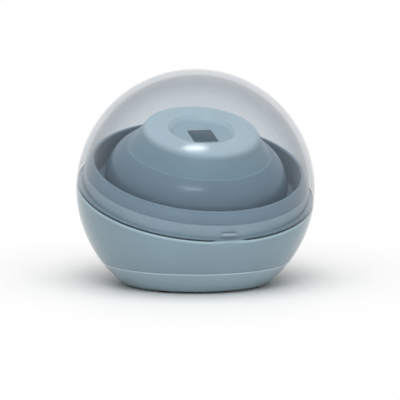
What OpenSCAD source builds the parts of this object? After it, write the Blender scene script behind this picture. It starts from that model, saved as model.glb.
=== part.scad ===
// Ball-shaped case that sterilizes a pacifier with ultraviolet light.
// Millimetres. +Z is up, the front is -Y, and the origin is the middle of the
// four feet on the surface that the case stands on.
// The ball is split on a plane that slopes down to the front. What sits on that
// plane is drawn in the split frame: its Z is square to the split and runs
// through the ball's centre, and its zero height is the split itself.

/* [Ball] */
// Diameter of the closed ball
ball_d = 105; // [100:1:130]
// Radius of the flat that the ball stands on
flat_r = 32.5; // [31:0.5:40]
// Thickness of the bowl and of the bottom cap
shell_wall = 2.5; // [2:0.1:3.2]
// Thickness of the clear dome
dome_wall = 2.5; // [2:0.1:3.2]
// Height of the seam between bottom cap and bowl
seam_z = 9.85; // [8:0.05:12]
// Width of the groove at that seam
seam_gap = 0.3; // [0.2:0.05:0.6]

/* [Split between dome and bowl] */
// Slope of the split, down towards the front
split_tilt = 18; // [5:1:20]
// Distance of the split below the ball's centre
split_drop = 0.6; // [0:0.1:4]
// Gap between the edges of dome and bowl
split_gap = 0.6; // [0.4:0.1:1]
// Width of the silicone seal in the split
seal_w = 1.25; // [0.8:0.05:1.4]
// Depth of the seal's seat below the bowl's edge
seal_seat = 1; // [0.6:0.1:1.5]

/* [Finger notch] */
// Width of the notch in the front of the bowl's edge
notch_w = 18; // [12:1:24]
// Depth of the notch below the edge
notch_h = 2.6; // [1.5:0.1:4]
// How far the notch goes into the edge of the wall
notch_in = 1.4; // [1:0.1:1.6]

/* [Inner tray] */
// Gap between the tray's collar and the dome
collar_gap = 0.8; // [0.6:0.1:1.5]
// Height of the step on the outside of the collar
collar_step_h = 5.8; // [4:0.2:8]
// Height of the collar's rim
collar_h = 11.4; // [8:0.2:14]
// How far the rim lies inside the foot of the collar
collar_lean = 2.1; // [1:0.1:3]
// Thickness of the collar at its rim
collar_wall = 1.6; // [1.2:0.1:2]
// Depth of the tray's floor below the split
tray_floor_drop = 2.4; // [1:0.1:4]
// Thickness of the tray's floor
tray_floor = 2; // [1.6:0.1:3]

/* [Pedestal] */
// Width of the valley between collar and pedestal
valley_w = 5.1; // [3:0.1:8]
// Height of the upright foot of the pedestal
ped_side_h = 4; // [3:0.5:8]
// Radius of the curve of the pedestal's shoulder
ped_shoulder_r = 17.7; // [16:0.1:20]
// Height of the ledge at the top of the shoulder
ped_ledge_h = 19; // [16:0.5:22]
// Width of that ledge
ped_ledge_w = 1.1; // [0.6:0.1:2]
// Radius of the pedestal's top
ped_top_r = 25.5; // [22:0.5:28]
// Height of the pedestal's top
ped_top_h = 29.2; // [26:0.2:34]
// Rounding of the top's outer edge
ped_top_round = 1.8; // [1:0.1:2.5]
// Thickness of the pedestal's wall
ped_wall = 1.8; // [1.5:0.1:2.4]
// Radius of the dish in the pedestal's top
dish_r = 14.3; // [12:0.1:16]
// Depth of the dish
dish_depth = 2.2; // [1.5:0.1:4]

/* [Lamp] */
// Width of the lamp's window
window_w = 11; // [8:0.5:12]
// Length of the lamp's window, front to back
window_l = 12.4; // [9:0.2:13]
// Thickness of the window
window_t = 1; // [0.8:0.1:1.2]
// How far the window lies in front of the dish's middle
window_ahead = 2.5; // [0:0.1:3]
// Diameter of the lamp's board
lamp_board_d = 24; // [22:0.5:28]

/* [Hinge] */
// Diameter of the hinge pin
pin_d = 2; // [1.6:0.1:2.6]
// Radius of the knuckles
knuckle_r = 2.7; // [2.4:0.1:3.5]
// Width of the bowl's knuckle
bowl_knuckle_w = 14; // [10:0.5:20]
// Width of each of the dome's knuckles
dome_knuckle_w = 5; // [4:0.5:8]
// Gap between knuckles
knuckle_gap = 0.3; // [0.2:0.05:0.5]

/* [Catch] */
// Width of the steel keeper in the dome
keeper_w = 7.2; // [6:0.2:10]
// Height of the keeper
keeper_h = 1.2; // [1:0.1:2]
// Height of the keeper above the split
keeper_up = 1.7; // [1.4:0.1:3]
// Thickness of the keeper
keeper_t = 1; // [0.8:0.1:1.4]
// Width of the catch magnet
magnet_w = 8; // [5:0.5:10]
// Thickness of the magnet
magnet_t = 1.6; // [1:0.1:2]
// Height of the magnet
magnet_h = 4; // [3:0.1:4.4]
// Plastic left between the magnet and the collar's outside
magnet_skin = 0.8; // [0.6:0.1:1]

/* [Back panel] */
// Distance of the charging socket below the panel's middle
port_down = 10; // [9:0.5:10.5]
// Distance of the status light below the panel's middle
light_down = 4; // [3.5:0.5:4.5]
// Distance of the power button above the panel's middle
button_up = 4; // [3.5:0.5:5]
// Diameter of the power button
button_d = 9; // [7:0.5:11]
// Travel of the power button
button_travel = 0.8; // [0.4:0.1:1.2]
// Depth of the recess round the charging socket
port_recess = 2.2; // [1.5:0.1:3]

/* [Inside] */
// Length of the battery cell, side to side
battery_l = 50; // [40:1:51]
// Width of the battery cell, front to back
battery_w = 28; // [22:1:29]
// Thickness of the battery cell
battery_h = 7.5; // [5:0.1:7.6]
// Width of the main board, side to side
board_w = 28; // [24:0.5:30]
// Length of the main board, front to back
board_l = 50; // [46:0.5:54]
// Thickness of the boards
board_t = 1.6; // [1:0.1:1.8]
// Height of the main board's underside
board_z = 13; // [12:0.1:14]
// Distance of the closing screws from the middle
screw_ring_r = 28; // [27.5:0.1:29]

/* [Feet] */
// Diameter of the rubber feet
foot_d = 7; // [6:0.5:8]
// How far the feet stand below the cap
foot_h = 0.8; // [0.5:0.1:1.5]
// Depth of the feet's seats
foot_seat = 0.7; // [0.5:0.1:1]

/* [Hidden] */

$fn = 96;
eps = 0.01;
far = 200;              // reaches past the whole case
seat_gap = 0.05;        // between pieces that are glued, clipped or screwed together
slip = 0.2;             // round pieces that slide, and between edges that nearly meet

shell_colour = [0.51, 0.57, 0.62];
tray_colour = [0.55, 0.62, 0.67];
pedestal_colour = [0.68, 0.75, 0.79];
dome_colour = [0.62, 0.69, 0.74, 0.45];
rubber_colour = [0.22, 0.24, 0.26];
steel_colour = [0.75, 0.76, 0.78];
board_colour = [0.10, 0.36, 0.24];
chip_colour = [0.10, 0.10, 0.11];
copper_colour = [0.72, 0.45, 0.20];
battery_colour = [0.72, 0.74, 0.76];
white_colour = [0.93, 0.93, 0.91];

// The ball
ball_r = ball_d / 2;
bowl_in_r = ball_r - shell_wall;
dome_in_r = ball_r - dome_wall;
centre_z = foot_h + ball_cut(ball_r, flat_r);
split_r = ball_cut(ball_r, split_drop);
// The notch is scooped out by a sphere that passes through the notch's lowest point,
// its deepest point on the bowl's edge and its two ends, which fixes its centre and radius
rim_h = -split_gap / 2;
rim_r = ball_cut(ball_r, split_drop - rim_h);
notch_low = [-ball_cut(ball_r, split_drop - rim_h + notch_h), rim_h - notch_h];
notch_deep = [notch_in - split_r, rim_h];
notch_end_y = -ball_cut(rim_r, notch_w / 2);
scoop_y = (rim_r * rim_r - notch_deep[0] * notch_deep[0]) / (2 * (notch_end_y - notch_deep[0]));
scoop_h = (norm(notch_low) ^ 2 - norm(notch_deep) ^ 2 - 2 * scoop_y * (notch_low[0] - notch_deep[0]))
    / (2 * (notch_low[1] - notch_deep[1]));
scoop_r = norm([scoop_y, scoop_h] - notch_deep);
cap_floor = 2.4;
cap_floor_z = foot_h + cap_floor;
lip_up = 2.5;
lip_down = 3;
lip_wall = 1.6;
post_d = 4.6;

// The tray, in the split frame
tray_seat = -(tray_floor_drop + tray_floor);
// The tray clears the dome above the split and the bowl below it
collar_r = min(
    ball_cut(dome_in_r, split_drop) - collar_gap,
    ball_cut(bowl_in_r, split_drop - tray_seat) - slip - seat_gap
);
collar_rim_r = collar_r - collar_lean;
valley_r = collar_rim_r - collar_wall;
collar_step = 0.7;
collar_edge = 0.3;
valley_round = 2;
ledge_t = 2.2;
seal_in_r = collar_r + seat_gap;
boss_d = 7;
boss_z = 5.9;
pilot_d = 2.2;
pilot_depth = 10;
wire_hole_d = 7;
magnet_y = magnet_skin + magnet_t / 2 - collar_r;
magnet_low = -0.8;
sensor_low = tray_seat + 0.4;

// The pedestal, in the split frame
ped_r = valley_r - valley_w;
ped_foot_h = -tray_floor_drop + seat_gap;
shoulder_x = ped_r - ped_shoulder_r;
shoulder_end = asin((ped_ledge_h - ped_side_h) / ped_shoulder_r);
shoulder_top_r = shoulder_x + ped_shoulder_r * cos(shoulder_end);
dish_floor_h = ped_top_h - dish_depth;
dish_lip = 0.8;
dish_round = 2.4;
dish_under_h = dish_floor_h - ped_wall;
ped_screw_r = ped_r - ped_wall - 5.5;
ped_screw_angles = [30, 150, 270];
ped_boss_d = 6;
ped_pilot_depth = 8;
window_drop = 0.1;
locate_h = 2;
locate_wall = 1.6;
locate_r = ped_r - ped_wall - 0.3;

// The lamp, in the split frame
lamp_y = -window_ahead;
window_lip = 1;
lamp_depth = 2.8;
lamp_board_h = dish_under_h - lamp_depth - board_t;
led_y = 2.6;
led_w = 3.5;
led_lens_r = 1.1;
led_lens_h = 0.4;
heatsink_d = 15;
heatsink_t = 4;
heatsink_slot = 1.1;
heatsink_base = 0.8;
lamp_post_x = 9.6;
lamp_post_d = 4.2;
lead_d = 1.2;
lead_x = 1;
lead_gap = 0.2;
lamp_lead_y = lamp_y - heatsink_d / 2 - 2.6;

// The hinge, in the split frame
hinge_y = split_r + 0.4 + knuckle_r;
pin_fit = 0.02;
pin_run = 0.05;
hinge_w = bowl_knuckle_w + 2 * (knuckle_gap + dome_knuckle_w);
pin_short = 0.4;

// The steel keeper in the dome
keeper_y = -ball_cut(dome_in_r, split_drop - keeper_up);
keeper_fit = 0.1;
keeper_sink = 0.15;

// The back panel, half way from the seam up to the tray's underside
panel_z = (seam_z + from_split(split_r, tray_seat)[1]) / 2;
port_z = panel_z - port_down;
light_z = panel_z - light_down;
button_z = panel_z + button_up;
port_y = ball_cut(ball_r, centre_z - port_z) - port_recess;
socket_l = 9.2;
socket_w = 8.94;
socket_h = 3.26;
socket_wall = 0.3;
socket_back = 1;
tongue_w = 6.7;
tongue_t = 0.7;
port_rim = 4;
port_pad_h = 9;
control_y = port_y - slip - socket_l;
control_w = 24;
control_low = port_z - port_pad_h / 2;
control_high = button_z + 6;
control_screw_x = 9;
control_screw_low = max(port_z - 1.8, seam_z + lip_up + post_d / 2 + slip);
control_screw_high = button_z + 3;
control_screw_l = board_t + 4;
guide_r = button_d / 2 + 2;
button_guide_y = ball_cut(bowl_in_r, norm([centre_z - button_z + guide_r, guide_r])) - 0.6;
button_flange_t = 1.1;
button_flange_r = button_d / 2 + 1.4;
button_stem_r = 2;
button_proud = 0.3;
switch_w = 6;
switch_h = 3.6;
plunger_r = 1.7;
plunger_y = control_y + switch_h - button_travel - slip;
plunger_l = 2.4;
light_r = 1.2;
light_proud = 0.15;
status_led_w = 2;
status_led_h = 1.2;
led_t = 0.9;

// The feet and the closing screws stand on the diagonals
corner_x = screw_ring_r * cos(45);
screw_head_d = 4.4;
screw_head_h = 1.6;
screw_hole_d = 2.7;
screw_d = 2.1;
screw_l = 9;
cup_wall = 1.6;
head_seat_z = foot_h + foot_seat + 2.4;
pad_round = 0.4;

// The main board
board_post_inset = 3;
board_post_x = board_w / 2 - board_post_inset;
board_post_y = board_l / 2 - board_post_inset;
board_top_z = board_z + board_t;
board_screw_d = 1.6;
board_screw_head_d = 3.2;
board_screw_head_h = 1.2;
// Controller, charger, driver and clock packages: place across and along, width, length, height
chips = [[-4, 4, 7, 7, 1], [8, 10, 4, 5, 1.2], [8, 1, 5, 4, 1.2], [-8, 14, 3, 3, 0.9]];
coil_x = 7.5;
coil_y = -8;
coil_w = 6;
coil_base_t = 0.8;
coil_h = 2.4;
cap_root_z = foot_h + 1;
label_depth = 0.4;
battery_z = cap_floor_z + slip;
rib_t = 1.2;
rib_h = 4;
battery_socket_w = 6;
battery_socket_l = 4.4;
battery_socket_h = 2.6;
battery_socket_y = battery_w / 2 + 6.4;
lead_socket_w = 5;
lead_socket_l = 4;
lamp_socket_h = 4.4;
sensor_socket_h = 3;
sensor_socket_y = 2.4 - board_l / 2;
ribbon_w = 8;
ribbon_t = 0.4;

function ball_cut(r, d) = sqrt(r * r - d * d);
function arc(cx, cy, r, from, to, steps) =
    [for (i = [0:steps]) let (a = from + (to - from) * i / steps) [cx + r * cos(a), cy + r * sin(a)]];
function unit(v) = v / norm(v);
function curve(a, b, c, d, steps) =
    [for (i = [0:steps]) let (t = i / steps, s = 1 - t)
        s * s * s * a + 3 * s * s * t * b + 3 * s * t * t * c + t * t * t * d];
// A point of the split frame, given as front-to-back place and height, in the case's own frame
function from_split(y, h) = [
    y * cos(split_tilt) - (h - split_drop) * sin(split_tilt),
    centre_z + y * sin(split_tilt) + (h - split_drop) * cos(split_tilt)
];

module split_frame() {
    translate([0, 0, centre_z]) rotate([split_tilt, 0, 0]) translate([0, 0, -split_drop]) children();
}

module ball(r) {
    translate([0, 0, centre_z]) sphere(r);
}

module above(z) {
    translate([-far, -far, z]) cube([2 * far, 2 * far, far]);
}

module below(z) {
    translate([-far, -far, z - far]) cube([2 * far, 2 * far, far]);
}

// Copies at x to the left and right and y to the front and back of the middle
module at_corners(x, y) {
    for (side = [-1, 1]) for (end = [-1, 1]) translate([side * x, end * y, 0]) children();
}

// Copies at the four posts of the control board
module at_control_posts() {
    for (side = [-1, 1]) for (z = [control_screw_low, control_screw_high])
        translate([side * control_screw_x, 0, z]) children();
}

module at_pedestal_screws() {
    for (a = ped_screw_angles) rotate(a) translate([ped_screw_r, 0, 0]) children();
}

// A cylinder that runs to the back from y, at height z
module to_back(y, z, r, l) {
    translate([0, y, z]) rotate([-90, 0, 0]) cylinder(h = l, r = r);
}

// A slot with round ends, w wide and h high, that runs to the back from y
module slot_to_back(y, z, w, h, l) {
    translate([0, y + l, z]) rotate([90, 0, 0]) linear_extrude(l) {
        square([w - h, h], center = true);
        for (side = [-1, 1]) translate([side * (w - h) / 2, 0]) circle(d = h);
    }
}

// A box about the middle of its width and length, standing on its base
module block(w, l, h) {
    translate([-w / 2, -l / 2, 0]) cube([w, l, h]);
}

// A pan-head screw that stands with its head down and its shank up
module screw(head_d, head_h, shank_d, shank_l) {
    rotate_extrude() polygon(concat(
        [[0, 0]],
        arc(head_d / 2 - pad_round, pad_round, pad_round, -90, 0, 4),
        [[head_d / 2, head_h], [shank_d / 2, head_h], [shank_d / 2, head_h + shank_l], [0, head_h + shank_l]]
    ));
}

// An insulated lead that follows points of one upright plane, at x
module lead(path, x) {
    sides = 8;
    last = len(path) - 1;
    along = [for (i = [0:last]) unit(path[min(i + 1, last)] - path[max(i - 1, 0)])];
    points = [for (i = [0:last]) for (k = [0:sides - 1]) let (a = 360 * k / sides) [
        x + lead_d / 2 * cos(a),
        path[i][0] - lead_d / 2 * sin(a) * along[i][1],
        path[i][1] + lead_d / 2 * sin(a) * along[i][0]
    ]];
    walls = [for (i = [0:last - 1]) for (k = [0:sides - 1]) let (n = (k + 1) % sides)
        [i * sides + k, (i + 1) * sides + k, (i + 1) * sides + n, i * sides + n]];
    first_end = [for (k = [0:sides - 1]) k];
    last_end = [for (k = [sides - 1:-1:0]) last * sides + k];
    polyhedron(points = points, faces = concat(walls, [first_end, last_end]));
}

// ---- Outer shells ----

module base_bowl() color(shell_colour) difference() {
    union() {
        difference() {
            ball(ball_r);
            ball(bowl_in_r);
            below(seam_z + seam_gap / 2);
            split_frame() above(rim_h);
        }
        tray_ledge();
        intersection() {
            ball(ball_r - shell_wall / 3);
            back_panel_bosses();
        }
        split_frame() bowl_knuckle();
    }
    split_frame() {
        // The seat of the seal
        translate([0, 0, rim_h - seal_seat]) cylinder(h = 2 * seal_seat, r = seal_in_r + seal_w + seat_gap);
        // The lens-shaped notch under the dome's edge, for a fingertip
        translate([0, scoop_y, scoop_h]) sphere(scoop_r);
        hinge_bore(pin_d / 2 + pin_fit);
        // A gap in the tray's ledge for the sensor's leads
        translate([0, -valley_r - 1, tray_seat - 2 * ledge_t])
            block(2 * lead_x + lead_d + 1.6, 5.4, 2 * ledge_t);
    }
    back_panel_holes();
}

// The ring in the bowl that the tray rests on
module tray_ledge() {
    out_r = ball_cut(bowl_in_r, split_drop - tray_seat) + shell_wall / 3;
    split_frame() translate([0, 0, tray_seat - seat_gap - ledge_t]) difference() {
        cylinder(h = ledge_t, r = out_r);
        translate([0, 0, -1]) cylinder(h = ledge_t + 2, r = valley_r);
    }
}

module bowl_knuckle() {
    web_h = 3.2;
    translate([-bowl_knuckle_w / 2, 0, 0]) {
        translate([0, split_r - shell_wall / 2, rim_h - web_h])
            cube([bowl_knuckle_w, hinge_y - split_r + shell_wall / 2, web_h]);
        translate([0, hinge_y, 0]) rotate([0, 90, 0]) cylinder(h = bowl_knuckle_w, r = knuckle_r);
    }
}

// A hole along the hinge's axis
module hinge_bore(r) {
    translate([0, hinge_y, 0]) rotate([0, 90, 0]) cylinder(h = 2 * hinge_w, r = r, center = true);
}

module back_panel_bosses() {
    // Thicker wall round the charging socket
    translate([-control_screw_x, port_y - 3, port_z - port_pad_h / 2])
        cube([2 * control_screw_x, far, port_pad_h]);
    // Guide of the power button
    to_back(button_guide_y, button_z, guide_r, far);
    // Posts of the control board
    at_control_posts() to_back(control_y, 0, post_d / 2, far);
}

module back_panel_holes() {
    to_back(control_y, button_z, button_d / 2 + slip, far);
    to_back(control_y, light_z, light_r + seat_gap, far);
    slot_to_back(control_y, port_z, socket_w + 2 * slip, socket_h + 2 * slip, far);
    slot_to_back(port_y, port_z, socket_w + port_rim, socket_h + port_rim, far);
    at_control_posts() to_back(control_y - 1, 0, board_screw_d / 2 + seat_gap, control_screw_l);
}

module bottom_cap() color(shell_colour) difference() {
    lip_r = ball_cut(bowl_in_r, centre_z - seam_z) - slip;
    union() {
        difference() {
            ball(ball_r);
            above(seam_z - seam_gap / 2);
            below(foot_h);
            intersection() {
                ball(bowl_in_r);
                above(cap_floor_z);
            }
        }
        // The lip that centres the cap in the bowl
        difference() {
            translate([0, 0, seam_z - lip_down]) cylinder(h = lip_down + lip_up, r = lip_r);
            translate([0, 0, seam_z - lip_down - 1])
                cylinder(h = lip_down + lip_up + 2, r = lip_r - lip_wall);
        }
        at_corners(corner_x, corner_x) translate([0, 0, cap_root_z])
            cylinder(h = boss_z - seat_gap - cap_root_z, d = screw_head_d + 2 * cup_wall);
        at_corners(board_post_x, board_post_y) translate([0, 0, cap_root_z])
            cylinder(h = board_z - seat_gap - cap_root_z, d = post_d);
        battery_cradle();
    }
    at_corners(corner_x, corner_x) {
        cylinder(h = foot_h + foot_seat, d = foot_d + 2 * seat_gap);
        cylinder(h = head_seat_z, d = screw_head_d + 2 * slip);
        cylinder(h = boss_z + 1, d = screw_hole_d);
    }
    at_corners(board_post_x, board_post_y) translate([0, 0, board_z - 6])
        cylinder(h = 7, d = board_screw_d + 2 * seat_gap);
    // A shallow bare field for a rating label
    cylinder(h = foot_h + label_depth, r = flat_r / 2);
}

module battery_cradle() {
    rib_low_h = cap_floor_z - cap_root_z + rib_h;
    for (side = [-1, 1]) {
        translate([side * (battery_l / 2 + slip + rib_t / 2), 0, cap_root_z])
            block(rib_t, battery_w * 0.6, rib_low_h);
        translate([0, side * (battery_w / 2 + slip + rib_t / 2), cap_root_z])
            block(battery_l * 0.5, rib_t, rib_low_h);
    }
}

module rubber_feet() color(rubber_colour) at_corners(corner_x, corner_x)
    rotate_extrude() polygon(concat(
        [[0, 0]],
        arc(foot_d / 2 - pad_round, pad_round, pad_round, -90, 0, 4),
        [[foot_d / 2, foot_h + foot_seat - seat_gap], [0, foot_h + foot_seat - seat_gap]]
    ));

module closing_screws() color(steel_colour) at_corners(corner_x, corner_x)
    translate([0, 0, head_seat_z - seat_gap - screw_head_h])
        screw(screw_head_d, screw_head_h, screw_d, screw_l);

// ---- Tray and pedestal ----

module inner_tray() color(tray_colour) difference() {
    union() {
        split_frame() rotate_extrude() polygon(tray_profile());
        split_frame() locating_ring();
        difference() {
            at_corners(corner_x, corner_x) translate([0, 0, boss_z]) cylinder(h = far, d = boss_d);
            split_frame() above(tray_seat + tray_floor / 2);
        }
    }
    at_corners(corner_x, corner_x) translate([0, 0, boss_z - 1]) cylinder(h = 1 + pilot_depth, d = pilot_d);
    split_frame() {
        magnet_pocket();
        translate([0, lamp_lead_y, tray_seat - 1]) cylinder(h = tray_floor + 2, d = wire_hole_d);
        at_pedestal_screws() translate([0, 0, tray_seat - 1]) cylinder(h = tray_floor + 2, d = screw_hole_d);
    }
}

// The tray's section: floor, valley, and the collar that leans in above its step
function tray_profile() = concat(
    [[0, tray_seat], [collar_r, tray_seat], [collar_r, collar_step_h - collar_edge]],
    [[collar_r - collar_edge, collar_step_h], [collar_r - collar_step, collar_step_h]],
    [for (i = [1:6]) let (t = i / 6) [
        collar_r - collar_step - (collar_lean - collar_step) * t * t,
        collar_step_h + (collar_h - collar_wall / 2 - collar_step_h) * t
    ]],
    arc(collar_rim_r - collar_wall / 2, collar_h - collar_wall / 2, collar_wall / 2, 20, 180, 8),
    arc(valley_r - valley_round, valley_round - tray_floor_drop, valley_round, 0, -90, 6),
    [[0, -tray_floor_drop]]
);

module locating_ring() {
    translate([0, 0, -tray_floor_drop - eps]) difference() {
        cylinder(h = locate_h, r = locate_r);
        translate([0, 0, -1]) cylinder(h = locate_h + 2, r = locate_r - locate_wall);
    }
}

module magnet_pocket() {
    translate([0, magnet_y, tray_seat - 1])
        block(magnet_w + 2 * seat_gap, magnet_t + 2 * seat_gap, 1 - tray_seat + magnet_low + magnet_h);
}

module pedestal() color(pedestal_colour) split_frame() difference() {
    union() {
        rotate_extrude() polygon(concat(pedestal_outside(), pedestal_inside()));
        intersection() {
            rotate_extrude() polygon(concat(pedestal_outside(), [[0, ped_foot_h]]));
            union() {
                at_pedestal_screws() translate([0, 0, ped_foot_h]) cylinder(h = far, d = ped_boss_d);
                for (side = [-1, 1])
                    translate([side * lamp_post_x, lamp_y, lamp_board_h + board_t + seat_gap])
                        cylinder(h = dish_under_h + 1 - lamp_board_h - board_t, d = lamp_post_d);
            }
        }
    }
    at_pedestal_screws() translate([0, 0, ped_foot_h - 1]) cylinder(h = 1 + ped_pilot_depth, d = pilot_d);
    for (side = [-1, 1]) translate([side * lamp_post_x, lamp_y, lamp_board_h])
        cylinder(h = board_t + 3, d = board_screw_d + 2 * seat_gap);
    // The window's seat, and the opening under it
    translate([0, lamp_y, dish_floor_h - window_t - window_drop])
        block(window_w + 2 * seat_gap, window_l + 2 * seat_gap, 5);
    translate([0, lamp_y, dish_under_h - 1])
        block(window_w - 2 * window_lip, window_l - 2 * window_lip, ped_wall + 2);
}

// The outside of the pedestal's section, from its foot to the middle of the dish
function pedestal_outside() = concat(
    [[ped_r, ped_foot_h]],
    arc(shoulder_x, ped_side_h, ped_shoulder_r, 0, shoulder_end, 14),
    [[shoulder_top_r - ped_ledge_w, ped_ledge_h + 0.3]],
    arc(ped_top_r - ped_top_round, ped_top_h - ped_top_round, ped_top_round, 20, 90, 8),
    arc(dish_r + dish_lip, ped_top_h - dish_lip, dish_lip, 90, 150, 4),
    arc(dish_r - dish_lip - dish_round, dish_floor_h + dish_round, dish_round, -30, -90, 5),
    [[0, dish_floor_h]]
);

// Its inside, from the middle of the dish back to the foot
function pedestal_inside() = concat(
    [[0, dish_under_h], [dish_r - 1, dish_under_h], [dish_r, ped_top_h - ped_wall]],
    [[ped_top_r - 1.6, ped_top_h - ped_wall]],
    [[shoulder_top_r - ped_ledge_w - 1.8, ped_ledge_h - 0.6]],
    arc(shoulder_x, ped_side_h, ped_shoulder_r - ped_wall, shoulder_end, 0, 14),
    [[ped_r - ped_wall, ped_foot_h]]
);

module pedestal_screws() color(steel_colour) split_frame() at_pedestal_screws()
    translate([0, 0, tray_seat - seat_gap - screw_head_h])
        screw(screw_head_d, screw_head_h, screw_d, tray_floor + 6);

module lid_seal() color(rubber_colour) split_frame()
    rotate_extrude() translate([seal_in_r, rim_h - seal_seat + seat_gap])
        square([seal_w, seal_seat - rim_h - seat_gap]);

module catch_magnet() color(steel_colour) split_frame()
    translate([0, magnet_y, magnet_low - seat_gap]) block(magnet_w, magnet_t, magnet_h);

module lid_sensor() color(chip_colour) split_frame()
    translate([0, magnet_y, sensor_low]) block(4, 1.5, magnet_low - sensor_low - 2 * seat_gap);

// ---- Lid ----

module clear_dome() color(dome_colour) split_frame() difference() {
    union() {
        difference() {
            translate([0, 0, split_drop]) sphere(ball_r);
            translate([0, 0, split_drop]) sphere(dome_in_r);
            below(split_gap / 2);
        }
        for (side = [0, 1]) mirror([side, 0, 0]) dome_knuckle();
    }
    hinge_bore(pin_d / 2 + pin_run);
    keeper_seat();
}

module dome_knuckle() {
    x_in = bowl_knuckle_w / 2 + knuckle_gap;
    web_y = ball_cut(split_r, hinge_w / 2) - dome_wall / 2;
    translate([x_in, 0, 0]) {
        translate([0, web_y, split_gap / 2])
            cube([dome_knuckle_w, hinge_y - web_y, knuckle_r - split_gap / 2]);
        translate([0, hinge_y, 0]) rotate([0, 90, 0]) cylinder(h = dome_knuckle_w, r = knuckle_r);
    }
}

module keeper_seat() {
    translate([0, keeper_y, keeper_up - seat_gap])
        block(keeper_w + 2 * seat_gap, 2 * (keeper_t + seat_gap), keeper_h + 2 * seat_gap);
}

module keeper_plate() color(steel_colour) split_frame()
    translate([0, keeper_y - keeper_t / 2 + keeper_sink, keeper_up])
        block(keeper_w, keeper_t - keeper_fit, keeper_h);

module hinge_pin() color(steel_colour) split_frame()
    translate([0, hinge_y, 0]) rotate([0, 90, 0])
        cylinder(h = hinge_w - 2 * pin_short, d = pin_d, center = true);

// ---- Lamp under the dish ----

module lamp_window() color([0.35, 0.45, 0.49, 0.6]) split_frame()
    translate([0, lamp_y, dish_floor_h - window_drop - window_t + seat_gap])
        block(window_w, window_l, window_t);

module lamp_reflector() color(steel_colour) split_frame()
    translate([0, lamp_y, lamp_board_h + board_t + seat_gap]) difference() {
        block(window_w, window_l, lamp_depth - 2 * seat_gap);
        translate([0, 0, -1]) block(window_w - 2 * window_lip, window_l - 2 * window_lip, lamp_depth + 2);
    }

module lamp_leds() color([0.95, 0.85, 0.35]) split_frame()
    for (end = [-1, 1]) translate([0, lamp_y + end * led_y, lamp_board_h + board_t]) {
        block(led_w, led_w, led_t);
        translate([0, 0, led_t - eps]) cylinder(h = led_lens_h, r = led_lens_r);
    }

module lamp_board() color(white_colour) split_frame()
    translate([0, lamp_y, lamp_board_h]) difference() {
        cylinder(h = board_t, d = lamp_board_d);
        for (side = [-1, 1]) translate([side * lamp_post_x, 0, -1])
            cylinder(h = board_t + 2, d = board_screw_d + 2 * slip);
    }

module lamp_heatsink() color(steel_colour) split_frame()
    translate([0, lamp_y, lamp_board_h - heatsink_t - seat_gap]) difference() {
        cylinder(h = heatsink_t, d = heatsink_d);
        for (x = [-5:2.5:5]) translate([x, 0, -1])
            block(heatsink_slot, heatsink_d, heatsink_t + 1 - heatsink_base);
    }

module lamp_screws() color(steel_colour) split_frame() for (side = [-1, 1])
    translate([side * lamp_post_x, lamp_y, lamp_board_h - seat_gap - board_screw_head_h])
        screw(board_screw_head_d, board_screw_head_h, board_screw_d, board_t + 2.5);

// Leads run straight down from the lamp's board, through the tray, and turn upright
module lamp_leads() color([0.75, 0.16, 0.14]) {
    top = from_split(lamp_lead_y, lamp_board_h - seat_gap);
    gate = from_split(lamp_lead_y, tray_seat);
    plug = [gate[0] + lead_socket_l / 2, board_top_z + lamp_socket_h + seat_gap];
    steps = curve(gate, gate + [1.6, -6], plug + [0, 6], plug, 8);
    for (side = [-1, 1]) lead(concat([top, (top + gate) / 2], steps), side * lead_x);
}

// ---- Main board and battery ----

module main_board() color(board_colour) translate([0, 0, board_z]) difference() {
    block(board_w, board_l, board_t);
    at_corners(board_post_x, board_post_y) translate([0, 0, -1])
        cylinder(h = board_t + 2, d = board_screw_d + 2 * slip);
}

module main_board_screws() color(steel_colour)
    at_corners(board_post_x, board_post_y)
        translate([0, 0, board_top_z + seat_gap + board_screw_head_h]) mirror([0, 0, 1])
            screw(board_screw_head_d, board_screw_head_h, board_screw_d, board_t + 4);

module main_board_chips() color(chip_colour) for (c = chips)
    translate([c[0], c[1], board_top_z]) block(c[2], c[3], c[4]);

module main_board_coil() color(copper_colour) translate([coil_x, coil_y, board_top_z]) {
    block(coil_w, coil_w, coil_base_t);
    translate([0, 0, coil_base_t - eps]) cylinder(h = coil_h, d = coil_w - 2 * slip);
}

module battery_cell() color(battery_colour) translate([0, 0, battery_z]) {
    intersection() {
        block(battery_l, battery_w, battery_h);
        union() {
            block(battery_l, battery_w - 3, battery_h);
            for (y = [-1, 1]) translate([-battery_l, y * (battery_w / 2 - battery_h / 2), battery_h / 2])
                rotate([0, 90, 0]) cylinder(h = 2 * battery_l, r = battery_h * 0.56);
        }
    }
}

module battery_pad() color(rubber_colour) translate([0, 0, battery_z + battery_h + seat_gap])
    block(board_w - 8, battery_w - 8, board_z - battery_z - battery_h - 2 * seat_gap);

module battery_socket() color(white_colour)
    translate([0, battery_socket_y, board_z - battery_socket_h - seat_gap])
        block(battery_socket_w, battery_socket_l, battery_socket_h);

module battery_leads() color([0.75, 0.16, 0.14]) {
    from = [battery_w / 2 + lead_gap, battery_z + battery_h - 2];
    to = [battery_socket_y - battery_socket_l / 2 - lead_gap, board_z - battery_socket_h / 2 - seat_gap];
    for (side = [-1, 1]) lead(curve(from, from + [2.2, 0], to - [2.2, 0], to, 8), side * lead_x);
}

// The two sockets on top of the main board: the lamp's and the lid sensor's
module lead_socket() color(white_colour) {
    gate = from_split(lamp_lead_y, tray_seat);
    translate([0, gate[0] + lead_socket_l / 2, board_top_z])
        block(lead_socket_w, lead_socket_l, lamp_socket_h);
    translate([0, sensor_socket_y, board_top_z])
        block(lead_socket_w, lead_socket_l, sensor_socket_h);
}

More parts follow.
